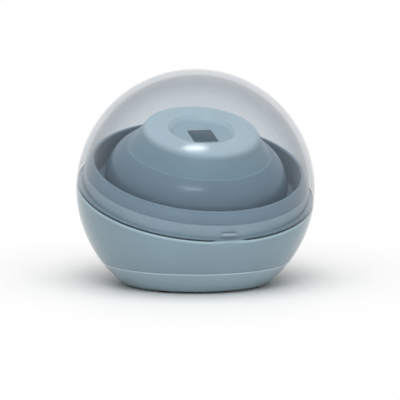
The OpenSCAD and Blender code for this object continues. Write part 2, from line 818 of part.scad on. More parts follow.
module sensor_leads() color([0.2, 0.3, 0.65]) {
    from = from_split(magnet_y, sensor_low - seat_gap);
    to = [sensor_socket_y - lead_socket_l / 2 - seat_gap, board_top_z + sensor_socket_h / 2];
    down = [sin(split_tilt), -cos(split_tilt)];
    for (side = [-1, 1]) lead(curve(from, from + 5 * down, to - [9, 0], to, 10), side * lead_x);
}

// ---- Back panel ----

module control_board() color(board_colour) difference() {
    translate([-control_w / 2, control_y - board_t - seat_gap, control_low])
        cube([control_w, board_t, control_high - control_low]);
    at_control_posts() to_back(control_y - 3, 0, board_screw_d / 2 + slip, 6);
}

module control_board_screws() color(steel_colour) at_control_posts()
    translate([0, control_y - board_t - 2 * seat_gap - board_screw_head_h, 0]) rotate([-90, 0, 0])
        screw(board_screw_head_d, board_screw_head_h, board_screw_d, control_screw_l);

// Flat cable from the foot of the control board to the back of the main board
module control_ribbon() color(white_colour) {
    from = [board_l / 2 - 1, board_top_z + ribbon_t];
    to = [control_y - board_t - 2 * seat_gap - ribbon_t * 0.625, control_low + 7];
    path = curve(from, from + [6, 0], to - [0, 6], to, 12);
    last = len(path) - 1;
    along = [for (i = [0:last]) unit(path[min(i + 1, last)] - path[max(i - 1, 0)])];
    side = [for (d = along) ribbon_t / 2 * [-d[1], d[0]]];
    outline = concat(
        [for (i = [0:last]) path[i] + side[i]],
        [for (i = [last:-1:0]) path[i] - side[i]]
    );
    translate([-ribbon_w / 2, 0, 0]) rotate([90, 0, 90]) linear_extrude(ribbon_w) polygon(outline);
}

module status_led() color(white_colour)
    translate([-status_led_w / 2, control_y + seat_gap, light_z - status_led_h / 2])
        cube([status_led_w, led_t, status_led_h]);

module status_light() color([0.85, 0.9, 0.95, 0.6]) intersection() {
    to_back(control_y + led_t + 3 * seat_gap, light_z, light_r, far);
    ball(ball_r + light_proud);
}

module charging_shell() color(steel_colour) difference() {
    walls = 2 * socket_wall;
    slot_to_back(control_y + seat_gap, port_z, socket_w, socket_h, socket_l);
    slot_to_back(control_y + socket_back, port_z, socket_w - walls, socket_h - walls, far);
}

module charging_tongue() color(chip_colour) {
    clear = 2 * (socket_wall + seat_gap);
    slot_to_back(control_y + socket_back + seat_gap, port_z, socket_w - clear, socket_h - clear, 1.6);
    translate([-tongue_w / 2, control_y + socket_back + slip, port_z - tongue_t / 2])
        cube([tongue_w, socket_l - 2, tongue_t]);
}

module switch_body() color(chip_colour) difference() {
    translate([-switch_w / 2, control_y + seat_gap, button_z - switch_w / 2])
        cube([switch_w, switch_h, switch_w]);
    to_back(plunger_y - button_travel - slip, button_z, plunger_r + slip / 2, far);
}

module switch_plunger() color(white_colour) to_back(plunger_y, button_z, plunger_r, plunger_l);

module power_button() color(tray_colour) {
    post_y = plunger_y + plunger_l;
    flange_y = button_guide_y - slip - button_flange_t;
    intersection() {
        to_back(flange_y, button_z, button_d / 2, far);
        ball(ball_r + button_proud);
    }
    to_back(flange_y, button_z, button_flange_r, button_flange_t);
    to_back(post_y, button_z, button_stem_r, flange_y - post_y + 1);
}

base_bowl();
bottom_cap();
rubber_feet();
closing_screws();
inner_tray();
pedestal();
pedestal_screws();
lid_seal();
catch_magnet();
lid_sensor();
clear_dome();
keeper_plate();
hinge_pin();
lamp_window();
lamp_reflector();
lamp_leds();
lamp_board();
lamp_heatsink();
lamp_screws();
lamp_leads();
main_board();
main_board_chips();
main_board_coil();
main_board_screws();
battery_cell();
battery_pad();
battery_socket();
battery_leads();
lead_socket();
sensor_leads();
control_board();
control_board_screws();
control_ribbon();
status_led();
status_light();
charging_shell();
charging_tongue();
switch_body();
switch_plunger();
power_button();
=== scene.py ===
# %% [markdown]
# # The looks of a pacifier sterilizer case
#
# The case is a ball of grey-blue plastic with a smoked clear dome. Its working parts, sizes and
# hinge come from a fixed model, the frame. This lesson wraps that model in finished surfaces, one
# piece at a time, and each surface is a formula on a grid of points.

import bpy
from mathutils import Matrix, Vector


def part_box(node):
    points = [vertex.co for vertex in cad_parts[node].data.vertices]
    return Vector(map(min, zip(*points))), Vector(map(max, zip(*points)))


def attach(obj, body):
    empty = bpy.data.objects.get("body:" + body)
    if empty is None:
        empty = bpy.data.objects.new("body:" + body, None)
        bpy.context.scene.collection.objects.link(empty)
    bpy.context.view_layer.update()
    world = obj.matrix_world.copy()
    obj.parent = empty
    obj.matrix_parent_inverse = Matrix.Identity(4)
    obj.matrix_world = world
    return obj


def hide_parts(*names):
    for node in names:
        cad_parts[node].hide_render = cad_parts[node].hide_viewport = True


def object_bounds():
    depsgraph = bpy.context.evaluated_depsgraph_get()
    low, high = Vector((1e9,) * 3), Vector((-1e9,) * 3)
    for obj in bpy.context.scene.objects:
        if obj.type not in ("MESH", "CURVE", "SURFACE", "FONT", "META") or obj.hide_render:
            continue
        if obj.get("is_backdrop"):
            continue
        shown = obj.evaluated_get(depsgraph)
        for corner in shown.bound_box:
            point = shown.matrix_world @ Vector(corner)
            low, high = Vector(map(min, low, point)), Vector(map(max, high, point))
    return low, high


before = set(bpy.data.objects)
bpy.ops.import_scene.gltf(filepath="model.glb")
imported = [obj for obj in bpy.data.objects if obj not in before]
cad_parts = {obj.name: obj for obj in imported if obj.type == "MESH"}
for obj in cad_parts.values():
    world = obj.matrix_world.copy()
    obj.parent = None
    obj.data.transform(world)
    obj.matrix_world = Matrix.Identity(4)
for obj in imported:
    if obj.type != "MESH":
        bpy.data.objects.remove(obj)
cad_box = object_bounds()

# %% [markdown]
# ## Sizes
#
# Shapes below are worked out in millimetres and turned into metres when a mesh is made. The ball's
# size comes from the dome's own box: its widest place is the ball's diameter, and its top is the
# ball's top. The ball is cut by a plane that slopes down to the front, so most inner pieces are
# easiest to draw square to that plane. That is the split frame: `h` is the height above the split,
# and `tilted` carries its points into the case's own frame.

# %% Sizes of the ball and of the split
import math

import bmesh
import bpy
import numpy as np
from mathutils import Vector

MM = 0.001


def corners_mm(node):
    """The lowest and the highest corner of a working part, in millimetres."""
    low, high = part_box(node)
    return np.array(low) / MM, np.array(high) / MM


def middle_mm(node):
    """The middle of a working part's box, in millimetres."""
    return sum(corners_mm(node)) / 2


dome_low, dome_high = corners_mm("clear_dome")
BALL_R = (dome_high[0] - dome_low[0]) / 2
CENTRE_Z = dome_high[2] - BALL_R
FOOT_H = corners_mm("bottom_cap")[0][2]
SPLIT_TILT = math.radians(18)
SPLIT_DROP = 0.6
SPLIT_GAP = 0.6
SEAT_GAP = 0.05
WALL = 2.5
INNER_R = BALL_R - WALL
RIM_H = -SPLIT_GAP / 2
print(f"ball radius {BALL_R:.3f} mm, centre {CENTRE_Z:.3f} mm above the floor")


def across(radius, distance):
    """Radius of the circle that a plane cuts from a ball, at that distance from its centre."""
    return np.sqrt(radius ** 2 - np.square(distance))


def tilted(points):
    """Points (x, y, h) of the split frame, turned about X by the slope and set on the ball's centre."""
    x, y, h = np.moveaxis(np.asarray(points, float), -1, 0)
    h = h - SPLIT_DROP
    sin, cos = math.sin(SPLIT_TILT), math.cos(SPLIT_TILT)
    return np.stack([x, y * cos - h * sin, CENTRE_Z + y * sin + h * cos], -1)


# %% [markdown]
# ## Camera, floor and light
#
# The picture was taken from far away with a long lens, a little to the left of the front and a
# little above. So the camera stands almost two metres off. The picture is 400 pixels wide, and a
# known place of the ball's centre in it fixes where the camera looks. The floor is plain and pale,
# and the backdrop is a white world that only the camera, reflections and clear plastic see.

# %% Camera at the picture's angle
PICTURE_PX = 400
LENS_MM, SENSOR_MM = 404, 36
CAMERA_AZIMUTH, CAMERA_ELEVATION = math.radians(-17.5), math.radians(7.9)
CAMERA_DISTANCE = 1977
BALL_PX = np.array([195.6, 188.0])

mm_per_px = CAMERA_DISTANCE * SENSOR_MM / LENS_MM / PICTURE_PX
sin_a, cos_a = math.sin(CAMERA_AZIMUTH), math.cos(CAMERA_AZIMUTH)
sin_e, cos_e = math.sin(CAMERA_ELEVATION), math.cos(CAMERA_ELEVATION)
to_camera = np.array([sin_a * cos_e, -cos_a * cos_e, sin_e])
to_right = np.array([cos_a, sin_a, 0])
to_top = np.array([-sin_a * sin_e, cos_a * sin_e, cos_e])
off_centre = (PICTURE_PX / 2 - BALL_PX) * mm_per_px
looked_at = np.array([0, 0, CENTRE_Z]) + to_right * off_centre[0] - to_top * off_centre[1]

camera = bpy.data.objects.new("camera", bpy.data.cameras.new("camera"))
bpy.context.scene.collection.objects.link(camera)
camera.data.lens = LENS_MM
camera.data.sensor_width = SENSOR_MM
camera.data.clip_end = 20
camera.location = (looked_at + to_camera * CAMERA_DISTANCE) * MM
camera.rotation_mode = "QUATERNION"
camera.rotation_quaternion = Vector(-to_camera).to_track_quat("-Z", "Y")
bpy.context.scene.camera = camera
bpy.context.scene.view_settings.view_transform = "Standard"
print(f"camera: {mm_per_px:.4f} mm per pixel at the ball")

# %% Node helpers


def node_tree(owner):
    """Clears an owner's nodes and returns its node tree."""
    owner.use_nodes = True
    owner.node_tree.nodes.clear()
    return owner.node_tree


def add(tree, kind, inputs=None, **settings):
    """Adds a node, sets its properties, and gives each named input a value or a link."""
    node = tree.nodes.new(kind)
    for name, value in settings.items():
        setattr(node, name, value)
    for name, value in (inputs or {}).items():
        if isinstance(value, bpy.types.NodeSocket):
            tree.links.new(value, node.inputs[name])
        else:
            node.inputs[name].default_value = value
    return node


def object_place(tree):
    """Object coordinates in metres, which stay on a piece when it moves."""
    return add(tree, "ShaderNodeTexCoord").outputs["Object"]


def show(tree, shader):
    """Makes a shader the surface of its material."""
    add(tree, "ShaderNodeOutputMaterial", {"Surface": shader.outputs[0]})


def seen_directly(tree):
    """1 for rays from the camera, from a mirror-like surface or through a clear one, else 0."""
    path = add(tree, "ShaderNodeLightPath").outputs
    either = add(tree, "ShaderNodeMath", {0: path["Is Camera Ray"], 1: path["Is Glossy Ray"]},
                 operation="MAXIMUM")
    return add(tree, "ShaderNodeMath", {0: either.outputs[0], 1: path["Is Transmission Ray"]},
               operation="MAXIMUM").outputs[0]


# %% Floor, white world and soft lamps
WORLD_LIGHT = 0.36
WHITE = (1, 1, 1, 1)
SQUARE = ((-1, -1), (1, -1), (1, 1), (-1, 1))

world = bpy.data.worlds.new("white_world")
bpy.context.scene.world = world
tree = node_tree(world)
strength = add(tree, "ShaderNodeMapRange", {
    "Value": seen_directly(tree), "To Min": WORLD_LIGHT, "To Max": 1.0})
sky = add(tree, "ShaderNodeBackground", {"Color": WHITE, "Strength": strength.outputs[0]})
add(tree, "ShaderNodeOutputWorld", {"Surface": sky.outputs[0]})

FLOOR_HALF, FLOOR_UNDER = 3.0, 0.00002
FLOOR_TONE = (0.8, 0.8, 0.795, 1)
WHITE_FROM, WHITE_AT = 0.045, 0.16
floor_mesh = bpy.data.meshes.new("floor")
floor_corners = [(x * FLOOR_HALF, y * FLOOR_HALF, -FLOOR_UNDER) for x, y in SQUARE]
floor_mesh.from_pydata(floor_corners, [], [(0, 1, 2, 3)])
floor = bpy.data.objects.new("floor", floor_mesh)
bpy.context.scene.collection.objects.link(floor)
floor_paint = bpy.data.materials.new("floor_paint")
tree = node_tree(floor_paint)
paint = add(tree, "ShaderNodeBsdfPrincipled", {"Base Color": FLOOR_TONE, "Roughness": 0.6})
from_middle = add(tree, "ShaderNodeVectorMath", {0: object_place(tree)}, operation="LENGTH")
far_off = add(tree, "ShaderNodeMapRange", {
    "Value": from_middle.outputs["Value"], "From Min": WHITE_FROM, "From Max": WHITE_AT},
    interpolation_type="SMOOTHSTEP")
white_share = add(tree, "ShaderNodeMath", {0: far_off.outputs[0], 1: seen_directly(tree)},
                  operation="MULTIPLY")
white = add(tree, "ShaderNodeEmission", {"Color": WHITE, "Strength": 1.0})
show(tree, add(tree, "ShaderNodeMixShader", {
    0: white_share.outputs[0], 1: paint.outputs[0], 2: white.outputs[0]}))
floor_mesh.materials.append(floor_paint)
floor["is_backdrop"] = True


def soft_lamp(name, place, width, height, power):
    """A lamp of that width and height in metres, aimed at the middle of the ball.

    It lights surfaces but shows in none, because the outline of a big lamp would cut across the dome.
    """
    data = bpy.data.lights.new(name, "AREA")
    data.shape, data.size, data.size_y, data.energy = "RECTANGLE", width, height, power
    lamp = bpy.data.objects.new(name, data)
    bpy.context.scene.collection.objects.link(lamp)
    lamp.location = place
    aim = Vector((0, 0, CENTRE_Z * MM)) - Vector(place)
    lamp.rotation_euler = aim.to_track_quat("-Z", "Y").to_euler()
    lamp.visible_glossy = False
    return lamp


soft_lamp("lamp_above", (-0.1, -0.3, 1.1), 1.3, 1.3, 13.0)
soft_lamp("lamp_front", (-0.4, -1.6, 0.12), 1.2, 1.2, 9.0)

# %% [markdown]
# ## One lamp that shows
#
# Polished plastic needs something bright to mirror. One narrow lamp shows as a soft streak on the
# dome, in front of the pedestal's top. It fades towards its edge, because a hard outline would look
# like a window.

# %% The lamp that the dome mirrors
glint = soft_lamp("lamp_glint", (-0.27, -0.85, 0.99), 0.76, 0.21, 9.0)
glint.visible_glossy = True
tree = node_tree(glint.data)
on_lamp = add(tree, "ShaderNodeNewGeometry").outputs["Parametric"]
off_middle = add(tree, "ShaderNodeVectorMath", {0: on_lamp, 1: (0.5, 0.5, 0.0)}, operation="DISTANCE")
fade = add(tree, "ShaderNodeMapRange", {
    "Value": off_middle.outputs["Value"], "From Min": 0.5, "From Max": 0.1},
    interpolation_type="SMOOTHSTEP")
glow = add(tree, "ShaderNodeEmission", {"Strength": fade.outputs[0]})
add(tree, "ShaderNodeOutputLight", {"Surface": glow.outputs[0]})

# %% [markdown]
# ## From formula to mesh
#
# Every surface here is a grid: `u` runs round the piece and `v` along its section. `surface` joins
# four neighbours into a face, closes the grid where it meets itself, merges points that fall
# together at a pole, and turns all faces outwards. A section's corners get small arcs, because a
# real moulding has no razor edges and it is the rounded edges that catch the light.

# %% Sections: arcs and rounded corners
NEARLY_STRAIGHT = math.radians(88)


def unit(vectors):
    """Vectors scaled to a length of one: each is divided by its own length."""
    return vectors / np.maximum(np.linalg.norm(vectors, axis=-1, keepdims=True), 1e-9)


def arc(centre, radius, start, end, steps):
    """Points centre + radius * (cos a, sin a), with a going from start to end in degrees."""
    a = np.radians(np.linspace(start, end, steps + 1))
    return np.stack([centre[0] + radius * np.cos(a), centre[1] + radius * np.sin(a)], -1)


def fillet(corner, to_a, to_b, radius, steps=6):
    """An arc that touches both sides leaving a corner, for whole arrays of corners at once.

    With half the angle between the sides, the arc starts and ends radius / tan(half) from the
    corner, and its middle lies radius / sin(half) along the bisector.
    """
    to_a, to_b = unit(to_a), unit(to_b)
    half = np.arccos(np.clip((to_a * to_b).sum(-1, keepdims=True), -1, 1)) / 2
    straight = half > NEARLY_STRAIGHT
    half = np.where(straight, math.pi / 4, half)
    radius = np.where(straight, 0, np.broadcast_to(radius, corner.shape[:-1])[..., None])
    middle = corner + unit(to_a + to_b) * radius / np.sin(half)
    ray_a = corner + to_a * radius / np.tan(half) - middle
    ray_b = corner + to_b * radius / np.tan(half) - middle
    turn = (math.pi - 2 * half)[..., None, :]
    t = np.linspace(0, 1, steps + 1)[:, None]
    return middle[..., None, :] + (np.sin((1 - t) * turn) * ray_a[..., None, :]
                                   + np.sin(t * turn) * ray_b[..., None, :]) / np.sin(turn)


def soften(corners, radii, steps=6, closed=False):
    """Rounds the corners of a section; the two ends of an open one stay sharp."""
    p = np.asarray(corners, float)
    r = np.broadcast_to(np.asarray(radii, float), len(p)).copy()
    before, after = np.roll(p, 1, 0) - p, np.roll(p, -1, 0) - p
    if not closed:
        before[0], after[-1] = -after[0], -before[-1]
    points = fillet(p, before, after, r, steps).reshape(-1, 2)
    apart = np.linalg.norm(points - np.roll(points, 1, 0), axis=1) > 1e-5
    apart[0] = True
    return points[apart]


# %% Surfaces: grids, turned shapes and meshes
MERGE_WITHIN, THIN = 1e-7, 1e-8
SHARP_FROM = math.radians(40)


def turned(section, columns=192):
    """Turns a section (radius, height) about the Z axis: x = r cos a, y = r sin a, z = height."""
    a = np.linspace(0, 2 * math.pi, columns, endpoint=False)[:, None]
    r, h = section[:, 0][None], section[:, 1][None]
    return np.stack([r * np.cos(a), r * np.sin(a), h + 0 * a], -1)


def surface(name, grid, round_v=False):
    """A mesh from a grid (u, v, xyz) in millimetres, closed in u, and in v too if round_v."""
    columns, rows = grid.shape[:2]
    index = np.arange(columns * rows).reshape(columns, rows)
    ahead = np.roll(index, -1, 0)
    here, there = (index, ahead) if round_v else (index[:, :-1], ahead[:, :-1])
    above, above_there = np.roll(index, -1, 1), np.roll(ahead, -1, 1)
    if not round_v:
        above, above_there = above[:, :-1], above_there[:, :-1]
    faces = np.stack([here, there, above_there, above], -1).reshape(-1, 4)
    mesh = bpy.data.meshes.new(name)
    mesh.from_pydata((grid.reshape(-1, 3) * MM).tolist(), [], faces.tolist())
    tidy(mesh)
    return mesh


def tidy(mesh):
    """Merges points that fall together, points the faces outwards, and smooths all but sharp edges."""
    work = bmesh.new()
    work.from_mesh(mesh)
    bmesh.ops.remove_doubles(work, verts=work.verts, dist=MERGE_WITHIN)
    bmesh.ops.dissolve_degenerate(work, edges=work.edges, dist=THIN)
    bmesh.ops.recalc_face_normals(work, faces=work.faces)
    work.to_mesh(mesh)
    work.free()
    mesh.polygons.foreach_set("use_smooth", np.ones(len(mesh.polygons), bool))
    mesh.set_sharp_from_angle(angle=SHARP_FROM)


def merged(name, meshes):
    """One mesh that holds several separate closed shells."""
    work = bmesh.new()
    for mesh in meshes:
        work.from_mesh(mesh)
    whole = bpy.data.meshes.new(name)
    work.to_mesh(whole)
    work.free()
    tidy(whole)
    return whole


def carved(mesh, *steps):
    """Applies (operation, mesh) steps, UNION or DIFFERENCE, with exact booleans, one after another."""
    for operation, other in steps:
        target = bpy.data.objects.new("carved", mesh)
        tool = bpy.data.objects.new("carving_tool", other)
        for each in (target, tool):
            bpy.context.scene.collection.objects.link(each)
        cut = target.modifiers.new("cut", "BOOLEAN")
        cut.operation, cut.object, cut.solver = operation, tool, "EXACT"
        graph = bpy.context.evaluated_depsgraph_get()
        result = bpy.data.meshes.new_from_object(target.evaluated_get(graph))
        for each in (target, tool):
            bpy.data.objects.remove(each)
        mesh = result
    tidy(mesh)
    return mesh


def piece(name, mesh, body, stands_for, material):
    """Adds a finished piece: it rides on a body, stands for a working part and has its finish."""
    made = bpy.data.objects.new(name, mesh)
    mesh.name = name
    bpy.context.scene.collection.objects.link(made)
    mesh.materials.clear()
    mesh.materials.append(material)
    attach(made, body)
    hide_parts(stands_for)
    print(f"{name}: {len(mesh.polygons)} faces")
    return made


# %% [markdown]
# ## The dome
#
# The dome is one clear moulding, 2.5 mm thick all over, cut off square to the split. A sphere
# primitive with Solidify would do, but its wall would have no rim. Here the section is drawn
# instead: down the outside of the ball, round the rim, and up the inside. Turning it about the
# split frame's axis gives a closed shell with a soft edge that catches the light.

# %% The dome's shell
EDGE_SOFT = 0.45
DOME_RIM_H = SPLIT_GAP / 2
DOWN_STEPS, UP_STEPS = 90, 80


def ball_arc(radius, low, high, steps):
    """Section of a ball, from one height above the split to another: r = across(radius, h - drop)."""
    start = math.degrees(math.asin((low - SPLIT_DROP) / radius))
    end = math.degrees(math.asin((high - SPLIT_DROP) / radius))
    return arc((0, SPLIT_DROP), radius, start, end, steps)


dome_corners = np.concatenate([
    ball_arc(BALL_R, SPLIT_DROP + BALL_R, DOME_RIM_H, DOWN_STEPS),
    ball_arc(INNER_R, DOME_RIM_H, SPLIT_DROP + INNER_R, UP_STEPS)])
dome_radii = np.zeros(len(dome_corners))
dome_radii[[DOWN_STEPS, DOWN_STEPS + 1]] = EDGE_SOFT
dome_section = soften(dome_corners, dome_radii)
dome_shell = surface("dome_shell", tilted(turned(dome_section, 256)))
print("dome section:", len(dome_section), "points")

# %% [markdown]
# ## The hinge
#
# Dome and bowl meet at the back in three knuckles on one steel pin: one from the bowl between two
# from the dome. Each knuckle is a barrel with a web that runs into its shell. A slab, which is an
# outline carried along a straight line with its end edges rounded, makes them all, and later the
# lamp's window and the catch's keeper too.

# %% Slabs
END_STEPS = 4
TOOL_EDGE = 0.01


def slab(outline, low, high, edge, middle=None):
    """A closed outline (a, b), run from one level to another, as a grid of points (a, b, level).

    At both ends the outline is drawn in by edge * (1 - sin t) while the level moves by
    edge * (1 - cos t), t from 0 to 90 degrees, and a middle point closes the end.
    """
    along = np.roll(outline, -1, 0) - np.roll(outline, 1, 0)
    outward = np.stack([along[:, 1], -along[:, 0]], -1) / np.linalg.norm(along, axis=1, keepdims=True)
    t = np.radians(np.linspace(0, 90, END_STEPS + 1))
    inset = np.concatenate([edge * (1 - np.sin(t)), edge * (1 - np.sin(t[::-1]))])
    level = np.concatenate([low + edge * (1 - np.cos(t)), high - edge * (1 - np.cos(t[::-1]))])
    middle = outline.mean(0) if middle is None else np.array(middle, float)
    rows = outline[:, None] - outward[:, None] * inset[None, :, None]
    ends = np.broadcast_to(middle, (len(outline), 1, 2))
    rows = np.concatenate([ends, rows, ends], 1)
    levels = np.concatenate([[low], level, [high]])
    return np.concatenate([rows, np.broadcast_to(levels[None, :, None], rows.shape[:2] + (1,))], -1)


def disc(radius, steps=64, centre=(0, 0)):
    """A circle's outline."""
    return arc(centre, radius, 0, 360 - 360 / steps, steps - 1)


def rounded_box(width, length, radius, centre=(0, 0)):
    """A rectangle's outline with round corners."""
    half = np.array([width, length]) / 2
    corners = np.array(SQUARE) * half + centre
    return soften(corners, radius, 12, closed=True)


def along_x(grid):
    """Turns a slab's (a, b, level) into (level, a, b): an outline in y and z, carried along X."""
    return grid[..., [2, 0, 1]]


def along_y(grid):
    """Turns a slab's (a, b, level) into (a, level, b): an outline in x and z, carried along Y."""
    return grid[..., [0, 2, 1]]


# %% Knuckles and pin
split_r = across(BALL_R, SPLIT_DROP)
KNUCKLE_R, KNUCKLE_EDGE, KNUCKLE_STEPS = 2.7, 0.35, 40
PIN_R, PIN_ROUND = 1.0, 0.25
HINGE_Y = split_r + 0.4 + KNUCKLE_R
BOWL_KNUCKLE_HALF = 7.0
DOME_KNUCKLE = (7.3, 12.3)
PIN_HALF = DOME_KNUCKLE[1] - 0.4
BORE_R, BORE_HALF = PIN_R + 0.05, 20

# Each web starts inside its shell's wall, and meets its barrel where the split's face does.
DOME_WEB_Y, DOME_WEB_FROM, DOME_WEB_TO, DOME_WEB_MIDDLE = 49.9, 173.6, 450, (54.0, 1.2)
BOWL_WEB_Y, BOWL_WEB_FROM, BOWL_WEB_TO, BOWL_WEB_MIDDLE = 51.2, -62, 186.4, (54.2, -1.6)
BOWL_WEB_OUT, BOWL_WEB_LOW = 54.6, -3.5

dome_web = soften(np.concatenate([
    [(DOME_WEB_Y, DOME_RIM_H)],
    arc((HINGE_Y, 0), KNUCKLE_R, DOME_WEB_FROM, DOME_WEB_TO, KNUCKLE_STEPS),
    [(DOME_WEB_Y, KNUCKLE_R)]]), 0.0, closed=True)
bowl_web = soften(np.concatenate([
    [(BOWL_WEB_Y, BOWL_WEB_LOW), (BOWL_WEB_OUT, BOWL_WEB_LOW)],
    arc((HINGE_Y, 0), KNUCKLE_R, BOWL_WEB_FROM, BOWL_WEB_TO, KNUCKLE_STEPS),
    [(BOWL_WEB_Y, RIM_H)]]), 0.0, closed=True)
bore = surface("bore", tilted(along_x(slab(
    disc(BORE_R, 48, (HINGE_Y, 0)), -BORE_HALF, BORE_HALF, TOOL_EDGE))))

dome_mesh = dome_shell
for side in (-1, 1):
    low, high = sorted(side * x for x in DOME_KNUCKLE)
    knuckle = surface("dome_knuckle", tilted(along_x(slab(
        dome_web, low, high, KNUCKLE_EDGE, DOME_WEB_MIDDLE))))
    dome_mesh = carved(dome_mesh, ("UNION", knuckle))
dome_mesh = carved(dome_mesh, ("DIFFERENCE", bore))

pin_section = soften([(0, -PIN_HALF), (PIN_R, -PIN_HALF), (PIN_R, PIN_HALF), (0, PIN_HALF)],
                     [0, PIN_ROUND, PIN_ROUND, 0])
pin_grid = along_x(turned(pin_section, 48)) + np.array([0, HINGE_Y, 0])
pin_mesh = surface("pin", tilted(pin_grid))
print("dome with knuckles:", len(dome_mesh.polygons), "faces; pin", round(2 * PIN_HALF, 1), "mm long")

# %% [markdown]
# ## The catch's keeper
#
# A thin steel bar is let into the dome's inner face at the front, and the magnet in the tray pulls
# on it. It shows through the clear wall as a pale bar just above the finger notch.

# %% Keeper and its pocket
KEEPER_W, KEEPER_H, KEEPER_T, KEEPER_UP = 7.2, 1.2, 0.9, 1.7
KEEPER_CORNER, KEEPER_EDGE = 0.25, 0.12
POCKET_GROW, POCKET_DEEP = 0.1, 1.0
keeper_low, keeper_high = corners_mm("keeper_plate")
keeper_y = -across(INNER_R, SPLIT_DROP - KEEPER_UP) - 0.35


def keeper_block(grow, deep):
    """The keeper's outline in x and h, carried along Y; its pocket is grown and deepened."""
    middle = (0, KEEPER_UP + KEEPER_H / 2)
    outline = rounded_box(KEEPER_W + grow, KEEPER_H + grow, KEEPER_CORNER, middle)
    low = keeper_y - KEEPER_T / 2 - grow / 2
    high = keeper_y + KEEPER_T / 2 + deep
    return tilted(along_y(slab(outline, low, high, KEEPER_EDGE)))


keeper_mesh = surface("keeper", keeper_block(0, 0))
keeper_pocket = surface("keeper_pocket", keeper_block(POCKET_GROW, POCKET_DEEP))
dome_mesh = carved(dome_mesh, ("DIFFERENCE", keeper_pocket))
print("keeper box", np.round(keeper_low, 2), np.round(keeper_high, 2))

# %% [markdown]
# ## The bowl
#
# The bowl lies between two circles on the same ball: the sloping split above and the level seam
# below. A turned shape can't follow both, so each column of the grid is a great-circle arc that
# runs from a point of one circle to the matching point of the other. Every point then lies on the
# ball itself. At the front a much larger sphere scoops the finger notch out of the wall: along each
# ray from the ball's centre the surface lies where the ray meets the ball or the scoop, whichever
# comes first, with a soft blend between the two.

# %% Rays from the ball's centre
SEAM_Z, SEAM_GAP = 9.85, 0.3
NOTCH_W, NOTCH_H, NOTCH_IN = 18.0, 2.6, 1.4
rim_r = across(BALL_R, SPLIT_DROP - RIM_H)
low_point = np.array([-across(BALL_R, SPLIT_DROP - RIM_H + NOTCH_H), RIM_H - NOTCH_H])
deep_point = np.array([NOTCH_IN - split_r, RIM_H])
end_y = -across(rim_r, NOTCH_W / 2)
scoop_y = (rim_r ** 2 - deep_point[0] ** 2) / (2 * (end_y - deep_point[0]))
scoop_h = (low_point @ low_point - deep_point @ deep_point
           - 2 * scoop_y * (low_point[0] - deep_point[0])) / (2 * (low_point[1] - deep_point[1]))
scoop_r = math.hypot(scoop_y - deep_point[0], scoop_h - deep_point[1])
ball_centre = tilted([0, 0, SPLIT_DROP])
to_scoop = tilted([0, scoop_y, scoop_h]) - ball_centre
SCOOP_BLEND = 0.08


def soft_min(a, b, blend):
    """The lesser of a and b, lowered by up to a quarter of the blend where they are nearly equal."""
    near = np.maximum(blend - np.abs(a - b), 0) / blend
    return np.minimum(a, b) - near ** 2 * blend / 4


def outer_wall(ray):
    """Point where a unit ray from the ball's centre leaves the bowl: at the ball or at the scoop.

    The scoop is met at b - sqrt(b^2 - c), with b the ray times the way to the scoop's centre and c
    that way's length squared less the scoop's radius squared.
    """
    b = ray @ to_scoop
    under_root = b ** 2 - (to_scoop @ to_scoop - scoop_r ** 2)
    hit = np.where((b > 0) & (under_root > 0), b - np.sqrt(np.maximum(under_root, 0)), 2 * BALL_R)
    return ball_centre + ray * soft_min(BALL_R, hit, SCOOP_BLEND)[..., None]


def on_great_circle(start, end, share):
    """Unit rays from start to end: (sin((1 - s) w) start + sin(s w) end) / sin w.

    w is the angle between start and end, and s is the share of the way.
    """
    w = np.arccos(np.clip((start * end).sum(-1), -1, 1))[:, None, None]
    s = share[None, :, None]
    return (np.sin((1 - s) * w) * start[:, None] + np.sin(s * w) * end[:, None]) / np.sin(w)


print(f"scoop: radius {scoop_r:.1f} mm, centre {scoop_y:.1f}, {scoop_h:.1f}")

# %% The bowl's wall, rim and ledge
COLLAR_R = across(INNER_R, SPLIT_DROP) - 0.8
COLLAR_LEAN = 2.1
VALLEY_R = COLLAR_R - COLLAR_LEAN - 1.6
SEAL_SEAT_R, SEAL_SEAT_H = COLLAR_R + 1.35, -1.3
LEDGE_TOP, LEDGE_LOW = -4.45, -6.65
RIM_SOFT, SEAM_SOFT = 0.35, 0.2

COLUMNS, FRONT_COLUMNS, FRONT_HALF = 240, 106, 13

coarse = np.linspace(-math.pi, math.pi, COLUMNS, endpoint=False)
front = np.radians(np.linspace(-90 - FRONT_HALF, -90 + FRONT_HALF, FRONT_COLUMNS))
beside = np.abs(coarse + math.pi / 2) > math.radians(FRONT_HALF + 0.5)
bowl_angles = np.unique(np.concatenate([coarse[beside], front]))
round_about = np.stack([np.cos(bowl_angles), np.sin(bowl_angles)], -1)


def split_ring(radius, height):
    """A circle of the split frame, one point for each column of the bowl, as rows of one."""
    flat = round_about * radius
    return tilted(np.concatenate([flat, np.full((len(flat), 1), height)], -1))[:, None]


def seam_ring(radius, height):
    """The same for a level circle in the case's own frame."""
    flat = round_about * radius
    return np.concatenate([flat, np.full((len(flat), 1), height)], -1)[:, None]


# The scoop moves the rim inwards, so the rays to the rim are found in a few rounds.
rim_ray = unit(split_ring(rim_r, RIM_H)[:, 0] - ball_centre)
for _ in range(6):
    reach = np.linalg.norm(outer_wall(rim_ray) - ball_centre, axis=-1)
    rim_ray = unit(split_ring(across(reach, SPLIT_DROP - RIM_H)[:, None], RIM_H)[:, 0] - ball_centre)
rim_corner = outer_wall(rim_ray)
rim_out = across(reach, SPLIT_DROP - RIM_H)[:, None]
bowl_low = SEAM_Z + SEAM_GAP / 2
seam_ray = unit(seam_ring(across(BALL_R, CENTRE_Z - bowl_low), bowl_low)[:, 0] - ball_centre)
seam_corner = outer_wall(seam_ray)

